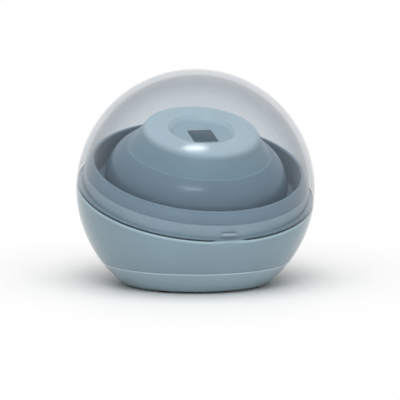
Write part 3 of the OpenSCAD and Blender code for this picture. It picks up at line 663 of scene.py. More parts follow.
share = np.unique(np.concatenate([np.linspace(0, 0.3, 34), np.linspace(0.3, 1, 34)]))
wall_rows = outer_wall(on_great_circle(rim_ray, seam_ray, share))
down_wall = unit(wall_rows[:, 1] - rim_corner)
up_wall = unit(wall_rows[:, -2] - seam_corner)
groove_edge = split_ring(SEAL_SEAT_R, RIM_H)
seam_inside = seam_ring(across(INNER_R, CENTRE_Z - bowl_low), bowl_low)
rim_round = fillet(rim_corner, groove_edge[:, 0] - rim_corner, down_wall, RIM_SOFT)
seam_round = fillet(seam_corner, up_wall, seam_inside[:, 0] - seam_corner, SEAM_SOFT)
clear_of_rim = np.linalg.norm(wall_rows - rim_corner[:, None], axis=-1) > RIM_SOFT * 1.6
first = int(np.argmax(clear_of_rim.all(0)))

ledge_under = split_ring(across(INNER_R, SPLIT_DROP - LEDGE_LOW), LEDGE_LOW)
inner_start = unit(seam_inside[:, 0] - ball_centre)
inner_end = unit(ledge_under[:, 0] - ball_centre)
inner_rows = ball_centre + INNER_R * on_great_circle(inner_start, inner_end, np.linspace(0, 1, 20))
bowl_grid = np.concatenate([
    rim_round, wall_rows[:, first:-1], seam_round, inner_rows,
    split_ring(VALLEY_R, LEDGE_LOW), split_ring(VALLEY_R, LEDGE_TOP),
    split_ring(across(INNER_R, SPLIT_DROP - LEDGE_TOP), LEDGE_TOP),
    split_ring(across(INNER_R, SPLIT_DROP - SEAL_SEAT_H), SEAL_SEAT_H),
    split_ring(SEAL_SEAT_R, SEAL_SEAT_H), groove_edge], 1)
bowl_mesh = surface("bowl_shell", bowl_grid, round_v=True)
print("bowl grid:", bowl_grid.shape[:2])

# %% [markdown]
# ## The back of the bowl
#
# The back of the bowl carries the power button, a small status light and the charging socket in
# its recess. The holes are cut with booleans, because a round hole in a grid of arcs would bend
# every column near it. Button, light, and the pad and guide behind the wall are columns that run to
# the back and end on the ball's own curve, so their far depth is measured from the ball.

# %% Columns that end on the ball
PORT_Z = middle_mm("charging_shell")[2]
LIGHT_Z = middle_mm("status_light")[2]
BUTTON_Z = middle_mm("power_button")[2]
PORT_Y = across(BALL_R, CENTRE_Z - PORT_Z) - 2.2
BUTTON_R, LIGHT_R = 4.5, 1.2
GUIDE_R = BUTTON_R + 2
POST_R, FLANGE_R, FLANGE_T = 2, 5.9, 1.1
POST_Y, LENS_Y = corners_mm("power_button")[0][1], corners_mm("status_light")[0][1]
GUIDE_Y = across(INNER_R, math.hypot(CENTRE_Z - BUTTON_Z + GUIDE_R, GUIDE_R)) - 0.6
FLANGE_Y = GUIDE_Y - 1.3


def ball_faced(name, outline, section, height, proud=0.0):
    """A closed outline in x and z, carried to the back; a section point is (scale, depth, share).

    Where share is 1 the depth is measured inwards from the ball grown by proud, and where it is 0 it
    is the place along Y itself: y = share * (sqrt(R^2 - x^2 - dz^2) - depth) + (1 - share) * depth.
    """
    scale, depth, share = np.asarray(section, float).T
    x, z = outline[:, :1] * scale, height + outline[:, 1:] * scale
    face = across(BALL_R + proud, np.hypot(x, z - CENTRE_Z)) - depth
    return surface(name, np.stack([x, share * face + (1 - share) * depth, z], -1))


def pressed_face(radius, edge, dish):
    """Section of a round face: a rounded edge, then a shallow dish.

    The dish's depth is dish * (1 - (r / inner)^2), down to its middle.
    """
    t = np.radians(np.linspace(0, 90, 7))
    rim = np.stack([radius - edge * (1 - np.cos(t)), edge * (1 - np.sin(t)), t * 0 + 1], -1)
    r = np.linspace(radius - edge, 0, 14)[1:]
    inner = (radius - edge) * 0.97
    depth = dish * np.maximum(1 - (r / inner) ** 2, 0)
    return np.concatenate([rim, np.stack([r, depth, r * 0 + 1], -1)])


button_section = np.concatenate([
    [(0, POST_Y, 0), (POST_R, POST_Y, 0), (POST_R, FLANGE_Y, 0), (FLANGE_R, FLANGE_Y, 0),
     (FLANGE_R, FLANGE_Y + FLANGE_T, 0), (BUTTON_R, FLANGE_Y + FLANGE_T, 0)],
    pressed_face(BUTTON_R, 0.45, 0.28)])
button_mesh = ball_faced("button", disc(1, 96), button_section, BUTTON_Z, 0.3)
light_section = np.concatenate([[(0, LENS_Y, 0), (LIGHT_R, LENS_Y, 0)], pressed_face(LIGHT_R, 0.3, 0)])
light_mesh = ball_faced("light", disc(1, 48), light_section, LIGHT_Z, 0.15)
print("button:", len(button_mesh.polygons), "faces; light:", len(light_mesh.polygons))

# %% Pad, guide, knuckle and holes
UNDER_SKIN = 0.9
HOLE_START, HOLE_END = 35.0, 60.0
PAD_W, PAD_H, PAD_DEEP = 18, 9, 3
SOCKET_SIZE, RECESS_SIZE = (9.34, 3.66), (12.94, 7.26)


def hole(outline, start=HOLE_START):
    """A straight tool through the back wall."""
    return surface("hole", along_y(slab(outline, start, HOLE_END, TOOL_EDGE)))


def slot(width, height):
    """A slot's outline at the socket; its round ends stop a hair short of half its height."""
    return rounded_box(width, height, height / 2 - 0.001, (0, PORT_Z))


def behind_skin(scale, start):
    """Section of a solid column from a place along Y out to just under the ball's skin."""
    return [(0, start, 0), (scale, start, 0), (scale, UNDER_SKIN, 1), (0, UNDER_SKIN, 1)]


pad = ball_faced("pad", rounded_box(PAD_W, PAD_H, 1), behind_skin(1, PORT_Y - PAD_DEEP), PORT_Z)
guide = ball_faced("guide", disc(1, 64), behind_skin(GUIDE_R, GUIDE_Y), BUTTON_Z)
knuckle = surface("bowl_knuckle", tilted(along_x(slab(
    bowl_web, -BOWL_KNUCKLE_HALF, BOWL_KNUCKLE_HALF, KNUCKLE_EDGE, BOWL_WEB_MIDDLE))))
bowl_mesh = carved(
    bowl_mesh, ("UNION", knuckle), ("DIFFERENCE", bore), ("UNION", pad), ("UNION", guide),
    ("DIFFERENCE", hole(disc(BUTTON_R + 0.2, 96, (0, BUTTON_Z)))),
    ("DIFFERENCE", hole(disc(LIGHT_R + 0.05, 48, (0, LIGHT_Z)))),
    ("DIFFERENCE", hole(slot(*SOCKET_SIZE))),
    ("DIFFERENCE", hole(slot(*RECESS_SIZE), PORT_Y)))
print("bowl:", len(bowl_mesh.polygons), "faces")

# %% [markdown]
# ## The bottom cap and its feet
#
# Below the seam a shallow dish closes the ball. Its outside carries on the ball down to the flat
# that the case stands on, with a round edge all the way, and four rubber pads sit in seats in that
# flat. A small bead runs along the seam, and the cap's top edge there is painted pale as a painted
# highlight, so that the seam shows as a fine pale line. The whole cap is painted paler than the
# bowl, as painted light from the floor.
# The cap is level, so it is turned about the case's own Z axis.

# %% Cap and feet
LABEL_R, LABEL_DEEP = 16.25, 0.4
CAP_FLOOR_Z = FOOT_H + 2.4
LIP_WALL, LIP_HIGH = 1.6, SEAM_Z + 2.5
BEAD = 0.25
FOOT_R, FOOT_SEAT, FOOT_OUT = 3.5, 0.7, 28 * math.sqrt(0.5)
FOOT_PLACES = [(x * FOOT_OUT, y * FOOT_OUT) for x in (-1, 1) for y in (-1, 1)]

cap_high_z = SEAM_Z - SEAM_GAP / 2
lip_r = across(INNER_R, CENTRE_Z - SEAM_Z) - 0.2


def level_arc(radius, low, high, steps):
    """Section of the ball in the case's own frame, from one height to another."""
    start, end = (math.degrees(math.asin((z - CENTRE_Z) / radius)) for z in (low, high))
    return arc((0, CENTRE_Z), radius, start, end, steps)


lip_meets = CENTRE_Z - across(INNER_R, lip_r - LIP_WALL)
cap_outside = level_arc(BALL_R, FOOT_H, cap_high_z, 24)
cap_outside[-1] += BEAD, BEAD
cap_inside = level_arc(INNER_R, lip_meets, CAP_FLOOR_Z, 12)
cap_section = np.concatenate([
    [(0, FOOT_H + LABEL_DEEP), (LABEL_R, FOOT_H + LABEL_DEEP), (LABEL_R, FOOT_H)],
    cap_outside,
    [(lip_r, cap_high_z), (lip_r, LIP_HIGH), (lip_r - LIP_WALL, LIP_HIGH)],
    cap_inside, [(0, CAP_FLOOR_Z)]])
bottom_edge, lip_start = 3, 3 + len(cap_outside)
cap_radii = np.zeros(len(cap_section))
cap_radii[[1, 2]] = 0.25
cap_radii[bottom_edge] = 1.2
cap_radii[lip_start - 1] = BEAD
cap_radii[lip_start:lip_start + 3] = 0.2
cap_mesh = surface("cap_shell", turned(soften(cap_section, cap_radii), 240))
seats = merged("foot_seats", [
    surface("foot_seat", slab(disc(FOOT_R + SEAT_GAP, 64, place), FOOT_H - 2, FOOT_H + FOOT_SEAT,
                              TOOL_EDGE))
    for place in FOOT_PLACES])
cap_mesh = carved(cap_mesh, ("DIFFERENCE", seats))

foot_top = FOOT_H + FOOT_SEAT - SEAT_GAP
foot_section = soften([(0, 0), (FOOT_R, 0), (FOOT_R, foot_top), (0, foot_top)], [0, 0.45, 0.1, 0])
feet_mesh = merged("feet", [surface("foot", turned(foot_section, 64) + np.array([x, y, 0]))
                            for x, y in FOOT_PLACES])
print("cap:", len(cap_mesh.polygons), "faces; feet:", len(feet_mesh.polygons))

# %% [markdown]
# ## Seal, tray and pedestal
#
# All three are round about the split frame's axis. The seal is a soft ring in the split, with a
# thin lip whose outer edge is painted nearly black as the painted shadow in the gap, so it shows as
# the dark line; the lip draws in with the bowl's edge at the finger notch. The tray's collar stands
# inside the dome with a step halfway up, and the pedestal is a bell with a ledge, a cone and a dished
# top on which the pacifier lies.

# %% Seal and tray
SEAL_W, SEAL_LOW = 1.25, -1.25
SEAL_R = COLLAR_R + SEAT_GAP
SEAL_LIP_SHORT, SEAL_LIP_T = 0.3, 0.4
TRAY_SEAT, TRAY_TOP = -4.4, -2.4
COLLAR_STEP_H, COLLAR_STEP, COLLAR_H, COLLAR_WALL = 5.8, 0.7, 11.4, 1.6
VALLEY_ROUND = 2.0

seal_out, seal_lip_out, lip_half = SEAL_R + SEAL_W, BALL_R - SEAL_LIP_SHORT, SEAL_LIP_T / 2
seal_section = soften(
    [(SEAL_R, SEAL_LOW), (seal_out, SEAL_LOW), (seal_out, -lip_half), (seal_lip_out, -lip_half),
     (seal_lip_out, lip_half), (SEAL_R, lip_half)], [0.15, 0.15, 0.05, 0.18, 0.18, 0.18], closed=True)
lip_reach = (rim_out - SEAL_LIP_SHORT - seal_out) / (seal_lip_out - seal_out)
seal_rings = [(r if r <= seal_out else seal_out + (r - seal_out) * lip_reach, h)
              for r, h in seal_section]
seal_grid = np.concatenate([split_ring(r, h) for r, h in seal_rings], 1)
seal_mesh = surface("seal_ring", seal_grid, round_v=True)

t = np.linspace(1 / 12, 1, 12)
lean = np.stack([COLLAR_R - COLLAR_STEP - (COLLAR_LEAN - COLLAR_STEP) * t ** 2,
                 COLLAR_STEP_H + (COLLAR_H - COLLAR_WALL / 2 - COLLAR_STEP_H) * t], -1)
rim_round_section = arc((COLLAR_R - COLLAR_LEAN - COLLAR_WALL / 2, COLLAR_H - COLLAR_WALL / 2),
                        COLLAR_WALL / 2, 15, 180, 14)
tray_section = np.concatenate([
    [(0, TRAY_SEAT), (COLLAR_R, TRAY_SEAT), (COLLAR_R, COLLAR_STEP_H),
     (COLLAR_R - COLLAR_STEP, COLLAR_STEP_H)],
    lean, rim_round_section,
    arc((VALLEY_R - VALLEY_ROUND, VALLEY_ROUND + TRAY_TOP), VALLEY_ROUND, 0, -90, 10),
    [(0, TRAY_TOP)]])
tray_radii = np.zeros(len(tray_section))
tray_radii[1:4] = 0.3, 0.3, 0.15
tray_mesh = surface("tray_shell", tilted(turned(soften(tray_section, tray_radii), 240)))
print("seal:", len(seal_mesh.polygons), "faces; tray:", len(tray_mesh.polygons))

# %% Pedestal
PED_R, PED_FOOT_H, PED_SIDE_H = VALLEY_R - 5.1, -2.35, 4.0
SHOULDER_R, SHOULDER_STEPS = 17.7, 28
LEDGE_H, LEDGE_W = 19.0, 1.1
TOP_R, TOP_H, TOP_ROUND = 25.5, 29.2, 2.3
DISH_R, DISH_H, DISH_LIP, DISH_ROUND = 14.3, TOP_H - 2.2, 0.8, 2.4
PED_WALL = 1.8

shoulder_x = PED_R - SHOULDER_R
shoulder_end = math.degrees(math.asin((LEDGE_H - PED_SIDE_H) / SHOULDER_R))
ledge_r = shoulder_x + SHOULDER_R * math.cos(math.radians(shoulder_end)) - LEDGE_W
outside = np.concatenate([
    [(PED_R, PED_FOOT_H)],
    arc((shoulder_x, PED_SIDE_H), SHOULDER_R, 0, shoulder_end, SHOULDER_STEPS),
    [(ledge_r, LEDGE_H + 0.3)],
    arc((TOP_R - TOP_ROUND, TOP_H - TOP_ROUND), TOP_ROUND, 14, 90, 14),
    arc((DISH_R + DISH_LIP, TOP_H - DISH_LIP), DISH_LIP, 90, 150, 8),
    arc((DISH_R - DISH_LIP - DISH_ROUND, DISH_H + DISH_ROUND), DISH_ROUND, -30, -90, 10),
    [(0, DISH_H)]])
dish_under = DISH_H - PED_WALL
inside = np.concatenate([
    [(0, dish_under), (DISH_R - 1, dish_under), (DISH_R, TOP_H - PED_WALL),
     (TOP_R - 1.6, TOP_H - PED_WALL), (ledge_r - PED_WALL, LEDGE_H - 0.6)],
    arc((shoulder_x, PED_SIDE_H), SHOULDER_R - PED_WALL, shoulder_end, 0, 24),
    [(PED_R - PED_WALL, PED_FOOT_H)]])
pedestal_section = np.concatenate([outside, inside])
pedestal_radii = np.zeros(len(pedestal_section))
pedestal_radii[SHOULDER_STEPS + 1:SHOULDER_STEPS + 3] = 0.5, 0.35
pedestal_grid = turned(soften(pedestal_section, pedestal_radii), 240)
pedestal_mesh = surface("pedestal_shell", tilted(pedestal_grid), round_v=True)

# %% Lamp window in the dish
WINDOW_W, WINDOW_L, WINDOW_T, WINDOW_Y = 11.0, 12.4, 1.0, -2.5
WINDOW_LIP = 1
window_top = DISH_H - 0.05
window_low = window_top - WINDOW_T


def window_slab(width, length, corner, low, high, edge):
    """A round-cornered plate of the split frame, about the window's middle."""
    return tilted(slab(rounded_box(width, length, corner, (0, WINDOW_Y)), low, high, edge))


pedestal_mesh = carved(
    pedestal_mesh,
    ("DIFFERENCE", surface("window_seat", window_slab(
        WINDOW_W + 2 * SEAT_GAP, WINDOW_L + 2 * SEAT_GAP, 0.8, window_low - SEAT_GAP, TOP_H + 2,
        TOOL_EDGE))),
    ("DIFFERENCE", surface("window_well", window_slab(
        WINDOW_W - 2 * WINDOW_LIP, WINDOW_L - 2 * WINDOW_LIP, 0.5, DISH_H - 4, DISH_H + 0.5,
        TOOL_EDGE))))
window_mesh = surface("window_plate", window_slab(
    WINDOW_W, WINDOW_L, 0.75, window_low, window_top, 0.15))
print("pedestal:", len(pedestal_mesh.polygons), "faces; window:", len(window_mesh.polygons))

# %% [markdown]
# ## Materials
#
# Each finish is built from nodes on Object coordinates, so its grain has a real size in
# millimetres. A moulded plastic is never quite one colour or one gloss: a slow drift of tone, a
# fine orange peel in the surface and small changes of roughness make it look like a real thing.

# %% Material helpers
PATTERN_LOW, PATTERN_HIGH = 0.3, 0.7


def srgb(r, g, b):
    """A colour written as it looks on screen (0 to 255), as the linear values that Blender uses."""
    c = np.array([r, g, b]) / 255
    linear = np.where(c <= 0.04045, c / 12.92, ((c + 0.055) / 1.055) ** 2.4)
    return (*[float(v) for v in linear], 1.0)


def new_material(name):
    """An empty material with its tree."""
    material = bpy.data.materials.new(name)
    return material, node_tree(material)


def grain(tree, size_mm, stretch=(1, 1, 1)):
    """Noise whose lumps are about that many millimetres across, 0 to 1 about a half."""
    scaled = add(tree, "ShaderNodeMapping", {"Vector": object_place(tree), "Scale": stretch})
    noise = add(tree, "ShaderNodeTexNoise", {
        "Vector": scaled.outputs[0], "Scale": 1 / (size_mm * MM), "Detail": 3.0, "Roughness": 0.5})
    return noise.outputs["Fac"]


def between(tree, share, low, high):
    """Carries the middle range of a pattern over to a low and a high value."""
    return add(tree, "ShaderNodeMapRange", {
        "Value": share, "From Min": PATTERN_LOW, "From Max": PATTERN_HIGH,
        "To Min": low, "To Max": high}).outputs[0]


def tones(tree, share, dark, light):
    """A colour between two tones, by a pattern."""
    ramp = add(tree, "ShaderNodeValToRGB", {"Fac": share})
    first, last = ramp.color_ramp.elements
    first.position, first.color = PATTERN_LOW, dark
    last.position, last.color = PATTERN_HIGH, light
    return ramp.outputs[0]


def relief(tree, height, depth_mm):
    """Bumps of that depth."""
    return add(tree, "ShaderNodeBump", {
        "Height": height, "Distance": depth_mm * MM, "Strength": 1.0}).outputs[0]


def solid_finish(name, dark, light, drift_mm, gloss, grain_mm, depth_mm, bands=None,
                 stretch=(1, 1, 1), **sockets):
    """An opaque finish: tone drifts between two colours, roughness and bumps follow a finer grain.

    bands gives the colour instead, and then the drift between dark and light is multiplied onto it.
    """
    material, tree = new_material(name)
    fine = grain(tree, grain_mm, stretch)
    colour = tones(tree, grain(tree, drift_mm), dark, light)
    if bands:
        colour = add(tree, "ShaderNodeMix", {0: 1.0, 6: bands(tree), 7: colour},
                     data_type="RGBA", blend_type="MULTIPLY").outputs[2]
    sockets = {key.replace("_", " "): value for key, value in sockets.items()}
    body = add(tree, "ShaderNodeBsdfPrincipled", {
        "Base Color": colour, "Roughness": between(tree, fine, *gloss),
        "Normal": relief(tree, fine, depth_mm), **sockets})
    show(tree, body)
    return material


# %% [markdown]
# ## Painted light and shade that follow the shape
#
# Several colours here are painted light and shade, not colours of the plastic: the bowl's rim and
# the cap's seam edge are painted pale as highlights, the cap, the pedestal's top, the collar's outer
# face and the seal's body are painted light, the pedestal's sides and the tray's valley are painted
# shade, and the seal's outer lip is painted dark as the shadow in the gap. Such bands follow the
# shape, so they are measured from the piece itself: by height above the table, by height above the
# sloping split, or by distance from the split's axis. A colour ramp then turns the measure into a
# colour.

# %% Measures and bands
split_middle = tilted([0, 0, 0]) * MM
split_normal = tilted([0, 0, 1]) - tilted([0, 0, 0])


def above_table(tree):
    """Height above the table, in metres."""
    return add(tree, "ShaderNodeSeparateXYZ", {0: object_place(tree)}).outputs["Z"]


def from_split(tree):
    """The way from the split's middle to a point of the surface."""
    return add(tree, "ShaderNodeVectorMath", {0: object_place(tree), 1: tuple(split_middle)},
               operation="SUBTRACT").outputs[0]


def above_split(tree):
    """Height above the split: that way's dot product with the split's normal."""
    return add(tree, "ShaderNodeVectorMath", {0: from_split(tree), 1: tuple(split_normal)},
               operation="DOT_PRODUCT").outputs["Value"]


def from_axis(tree):
    """Distance from the split's axis: the length of that way's cross product with the normal."""
    across_axis = add(tree, "ShaderNodeVectorMath", {0: from_split(tree), 1: tuple(split_normal)},
                      operation="CROSS_PRODUCT").outputs[0]
    return add(tree, "ShaderNodeVectorMath", {0: across_axis}, operation="LENGTH").outputs["Value"]


def banded(measure, *stops):
    """A function that adds a ramp to a tree: each stop is (millimetres, colour) along the measure."""
    first, last = stops[0][0], stops[-1][0]

    def ramp_for(tree):
        """The ramp itself: share = (measure - first) / (last - first), and a stop at each colour."""
        share = add(tree, "ShaderNodeMapRange", {
            "Value": measure(tree), "From Min": first * MM, "From Max": last * MM})
        ramp = add(tree, "ShaderNodeValToRGB", {"Fac": share.outputs[0]})
        while len(ramp.color_ramp.elements) < len(stops):
            ramp.color_ramp.elements.new(0.5)
        for element, (at, colour) in zip(ramp.color_ramp.elements, stops):
            element.position, element.color = (at - first) / (last - first), colour
        return ramp.outputs[0]

    return ramp_for


# %% Plastics that show
DRIFT = (0.93, 0.93, 0.93, 1), (1, 1, 1, 1)
# The rim's tone is a painted highlight; the shell's and the tray's tones are the plastic's own.
SHELL_TONE, RIM_PAINTED_HIGHLIGHT, TRAY_TONE = srgb(123, 147, 159), srgb(154, 180, 190), srgb(129, 152, 167)
POLISH = {"Coat_Weight": 0.25, "Coat_Roughness": 0.08}

# The bowl's outer rim is painted paler as a painted highlight, where its rounding meets the light.
bowl_rim_painted_highlight = banded(
    above_split, (RIM_H - 1.3, SHELL_TONE), (RIM_H - 0.6, RIM_PAINTED_HIGHLIGHT), (RIM_H + 0.1, RIM_PAINTED_HIGHLIGHT),
    (RIM_H + 0.3, SHELL_TONE))
# The cap is painted paler than the bowl as painted light from the floor below, and its top edge at the
# seam paler still as a painted highlight.
cap_painted_light_and_highlight = banded(
    above_table, (SEAM_Z - 0.5, srgb(144, 167, 178)), (SEAM_Z - 0.3, srgb(208, 222, 230)))
# The tray is painted darker at the valley as painted shade between the pedestal and the collar, and
# paler on the collar's outer face as painted light under the dome's rim.
tray_painted_light_and_shade = banded(
    from_axis, (VALLEY_R + 0.1, srgb(112, 137, 152)), (VALLEY_R + 0.6, TRAY_TONE),
    (COLLAR_R - 0.45, TRAY_TONE), (COLLAR_R - 0.25, srgb(168, 190, 201)))
# The pedestal is painted darker on its sides and below the ledge as painted shade, and paler on its top
# as painted light.
pedestal_painted_light_and_shade = banded(
    above_split, (LEDGE_H - 0.1, srgb(106, 129, 144)), (LEDGE_H + 0.2, srgb(119, 146, 159)),
    (TOP_H - 3, srgb(134, 158, 170)), (TOP_H - 1.2, srgb(182, 201, 210)))
# The seal's body is painted pale as painted light under the dome's rim, and its outer lip is painted
# nearly black as the painted shadow in the gap.
seal_painted_light_and_shadow = banded(
    from_axis, (BALL_R - 1.1, srgb(150, 172, 184)), (BALL_R - 0.9, srgb(30, 40, 46)))

shell_paint = solid_finish(
    "glossy_shell", *DRIFT, 25, (0.16, 0.22), 1.6, 0.004, bands=bowl_rim_painted_highlight, **POLISH)
cap_paint = solid_finish(
    "glossy_cap", *DRIFT, 25, (0.16, 0.22), 1.6, 0.004, bands=cap_painted_light_and_highlight, **POLISH)
tray_paint = solid_finish(
    "satin_tray", *DRIFT, 20, (0.26, 0.34), 0.8, 0.004, bands=tray_painted_light_and_shade)
pedestal_paint = solid_finish(
    "satin_pedestal", *DRIFT, 20, (0.2, 0.28), 0.9, 0.004, bands=pedestal_painted_light_and_shade)
seal_paint = solid_finish(
    "seal_silicone", *DRIFT, 10, (0.45, 0.6), 0.3, 0.01, bands=seal_painted_light_and_shadow)

# %% Plain plastics, rubbers and metals
ALONG_X = (0.04, 1, 1)


def plain_finishes(rows, **settings):
    """Solid finishes by name; a row gives the two tones as seen on screen, and then the rest."""
    return {name: solid_finish(name, srgb(*dark), srgb(*light), *rest, **settings)
            for name, dark, light, *rest in rows}


# Each row: name, darker tone, lighter tone, drift in mm, gloss range, grain in mm, relief in mm.
finishes = plain_finishes([
    ("button_face", (120, 136, 147), (128, 144, 155), 8, (0.3, 0.4), 0.25, 0.006),
    ("foot_rubber", (48, 51, 54), (58, 61, 64), 6, (0.6, 0.8), 0.35, 0.02),
    ("black_plastic", (24, 25, 27), (32, 33, 35), 5, (0.4, 0.55), 0.15, 0.006),
    ("white_plastic", (226, 224, 216), (236, 234, 227), 8, (0.35, 0.45), 0.2, 0.004),
    ("foam_pad", (52, 54, 58), (84, 86, 90), 0.6, (0.8, 0.95), 0.4, 0.12),
    ("battery_wrap", (168, 174, 180), (186, 191, 196), 12, (0.25, 0.4), 2.5, 0.03),
    ("lead_red", (160, 34, 30), (178, 44, 38), 4, (0.35, 0.45), 0.5, 0.005),
    ("lead_blue", (46, 70, 140), (56, 82, 156), 4, (0.35, 0.45), 0.5, 0.005),
    ("white_board", (224, 226, 224), (236, 238, 236), 6, (0.25, 0.35), 0.3, 0.003),
    ("led_package", (226, 196, 84), (238, 214, 112), 0.6, (0.2, 0.3), 0.3, 0.004)])
finishes |= plain_finishes([
    ("screw_steel", (142, 146, 150), (168, 171, 175), 1.5, (0.25, 0.4), 0.12, 0.004),
    ("magnet_plate", (168, 168, 166), (188, 188, 186), 1, (0.15, 0.3), 0.1, 0.003),
    ("polished_metal", (212, 216, 220), (228, 231, 234), 3, (0.05, 0.12), 0.5, 0.001),
    ("heatsink", (150, 156, 162), (168, 174, 180), 2, (0.4, 0.5), 0.12, 0.006)], Metallic=1.0)
finishes |= plain_finishes([
    ("bright_steel", (176, 180, 184), (196, 199, 203), 2, (0.2, 0.32), 0.08, 0.002)],
    stretch=ALONG_X, Metallic=1.0)
finishes |= plain_finishes([
    ("keeper_steel", (190, 202, 210), (200, 211, 218), 2, (0.45, 0.55), 0.08, 0.001)],
    stretch=ALONG_X, Metallic=0.6)
finishes |= plain_finishes([
    ("light_pipe", (196, 206, 212), (208, 217, 222), 1.5, (0.3, 0.42), 0.2, 0.004)],
    Subsurface_Weight=0.3, Subsurface_Scale=0.002)
print("plain finishes:", len(finishes))

# %% [markdown]
# ## Boards and copper
#
# A circuit board has traces under its green mask, which a grid of offset bricks gives well enough
# for a part that is shut away. The coil's winding is a fine band pattern.

# %% Patterned finishes
BRICK_MM, TURN_MM = 6, 1.2

finishes["green_board"], tree = new_material("green_board")
traces = add(tree, "ShaderNodeTexBrick", {
    "Vector": object_place(tree), "Scale": 1 / (BRICK_MM * MM), "Color1": srgb(22, 84, 56),
    "Color2": srgb(26, 96, 62), "Mortar": srgb(40, 122, 78), "Mortar Size": 0.035,
    "Brick Width": 0.9, "Row Height": 0.35})
show(tree, add(tree, "ShaderNodeBsdfPrincipled", {
    "Base Color": traces.outputs["Color"], "Roughness": between(tree, grain(tree, 0.4), 0.2, 0.3),
    "Normal": relief(tree, traces.outputs["Fac"], 0.02)}))

finishes["copper_coil"], tree = new_material("copper_coil")
turns = add(tree, "ShaderNodeTexWave", {
    "Vector": object_place(tree), "Scale": 1 / (TURN_MM * MM), "Distortion": 0.4},
    wave_type="BANDS", bands_direction="Z").outputs["Fac"]
show(tree, add(tree, "ShaderNodeBsdfPrincipled", {
    "Base Color": tones(tree, turns, srgb(128, 66, 34), srgb(196, 112, 62)), "Metallic": 1.0,
    "Roughness": between(tree, grain(tree, 0.2), 0.25, 0.4),
    "Normal": relief(tree, turns, 0.05)}))
print("finishes with patterns:", len(finishes))

# %% [markdown]
# ## Clear plastics
#
# The dome is thin smoked plastic. Real refraction would cost much light and many bounces and hardly
# bends anything in so thin a wall. So each of its surfaces lets light straight through with a tint,
# and a share that grows with the slant is a mirror. A slanting ray also has a longer way through
# the wall, so the tint deepens there. A trace of haze gives the body that moulded plastic has.

# %% Smoked dome and lamp window
HEAD_ON = 0.02
SLANT_FROM, SLANT_TO = 0.35, 0.9


def clear_finish(name, tint, slanted, haze, haze_colour, roughness):
    """Straight-through light with a tint, a little haze, and a mirror on top.

    The mirror's share is Schlick's: head_on + (1 - head_on) * (1 - |cos|)^5, with |cos| between the
    ray and the surface, so that both faces of the wall behave alike.
    """
    material, tree = new_material(name)
    facing = add(tree, "ShaderNodeLayerWeight", {"Blend": 0.5}).outputs["Facing"]
    darker = tuple(v * 0.985 for v in tint[:3]) + (1.0,)
    longer_way = add(tree, "ShaderNodeMapRange", {
        "Value": facing, "From Min": SLANT_FROM, "From Max": SLANT_TO})
    deep = add(tree, "ShaderNodeMix", {
        0: longer_way.outputs[0], 6: tones(tree, grain(tree, 30), darker, tint), 7: slanted},
        data_type="RGBA")
    through = add(tree, "ShaderNodeBsdfTransparent", {"Color": deep.outputs[2]})
    cloudy = add(tree, "ShaderNodeBsdfDiffuse", {"Color": haze_colour, "Roughness": 0.5})
    wall = add(tree, "ShaderNodeMixShader", {
        0: haze, 1: through.outputs[0], 2: cloudy.outputs[0]})
    mirror = add(tree, "ShaderNodeBsdfGlossy", {
        "Color": WHITE, "Roughness": roughness, "Normal": relief(tree, grain(tree, 8), 0.0003)})
    steep = add(tree, "ShaderNodeMath", {0: facing, 1: 5.0}, operation="POWER")
    share = add(tree, "ShaderNodeMath", {0: steep.outputs[0], 1: 1 - HEAD_ON, 2: HEAD_ON},
                operation="MULTIPLY_ADD")
    show(tree, add(tree, "ShaderNodeMixShader", {
        0: share.outputs[0], 1: wall.outputs[0], 2: mirror.outputs[0]}))
    return material


smoked_dome = clear_finish("smoked_dome", tint=(0.880, 0.898, 0.912, 1), slanted=(0.71, 0.73, 0.75, 1),
                           haze=0.012, haze_colour=srgb(170, 188, 200), roughness=0.09)
quartz = clear_finish("lamp_quartz", tint=(0.12, 0.20, 0.24, 1), slanted=(0.1, 0.17, 0.2, 1),
                      haze=0.6, haze_colour=srgb(66, 102, 116), roughness=0.05)

# %% [markdown]
# ## Putting it together
#
# Each new surface takes the place of its plain working part and rides on the body that carries it,
# so it opens or presses with the joint. The parts that stay out of sight keep their own shape and
# get the same care in their finish.

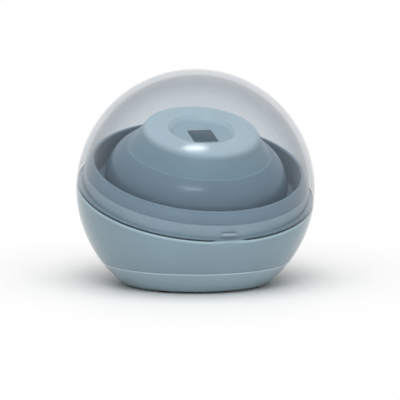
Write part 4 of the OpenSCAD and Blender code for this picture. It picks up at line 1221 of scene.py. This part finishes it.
# %% Pieces that replace working parts
piece("base_bowl_shell", bowl_mesh, "base", "base_bowl", shell_paint)
piece("bottom_cap_shell", cap_mesh, "base", "bottom_cap", cap_paint)
piece("foot_pads", feet_mesh, "base", "rubber_feet", finishes["foot_rubber"])
piece("silicone_seal", seal_mesh, "base", "lid_seal", seal_paint)
piece("collar_tray", tray_mesh, "base", "inner_tray", tray_paint)
piece("stepped_pedestal", pedestal_mesh, "base", "pedestal", pedestal_paint)
piece("window_plate", window_mesh, "base", "lamp_window", quartz)
piece("hinge_rod", pin_mesh, "base", "hinge_pin", finishes["bright_steel"])
piece("status_lens", light_mesh, "base", "status_light", finishes["light_pipe"])
piece("button_cap", button_mesh, "button", "power_button", finishes["button_face"])
piece("smoked_shell", dome_mesh, "lid", "clear_dome", smoked_dome)
piece("catch_bar", keeper_mesh, "lid", "keeper_plate", finishes["keeper_steel"])

# %% Finishes of the parts that keep their shape
INNER_PARTS = {
    "screw_steel": ["closing_screws", "pedestal_screws", "lamp_screws", "main_board_screws",
                    "control_board_screws"],
    "magnet_plate": ["catch_magnet"],
    "polished_metal": ["lamp_reflector"],
    "heatsink": ["lamp_heatsink"],
    "bright_steel": ["charging_shell"],
    "black_plastic": ["lid_sensor", "main_board_chips", "charging_tongue", "switch_body"],
    "white_plastic": ["battery_socket", "lead_socket", "control_ribbon", "switch_plunger"],
    "led_package": ["lamp_leds", "status_led"],
    "white_board": ["lamp_board"],
    "green_board": ["main_board", "control_board"],
    "copper_coil": ["main_board_coil"],
    "battery_wrap": ["battery_cell"],
    "foam_pad": ["battery_pad"],
    "lead_red": ["lamp_leads", "battery_leads"],
    "lead_blue": ["sensor_leads"]}
for finish, parts in INNER_PARTS.items():
    for part in parts:
        for material_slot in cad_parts[part].material_slots:
            material_slot.material = finishes[finish]
print("finishes set on", sum(len(parts) for parts in INNER_PARTS.values()), "inner parts")

looks_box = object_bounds()
largest_change = np.abs(np.array(cad_box) - np.array(looks_box)).max() / MM
print("size kept within", round(float(largest_change), 3), "mm")
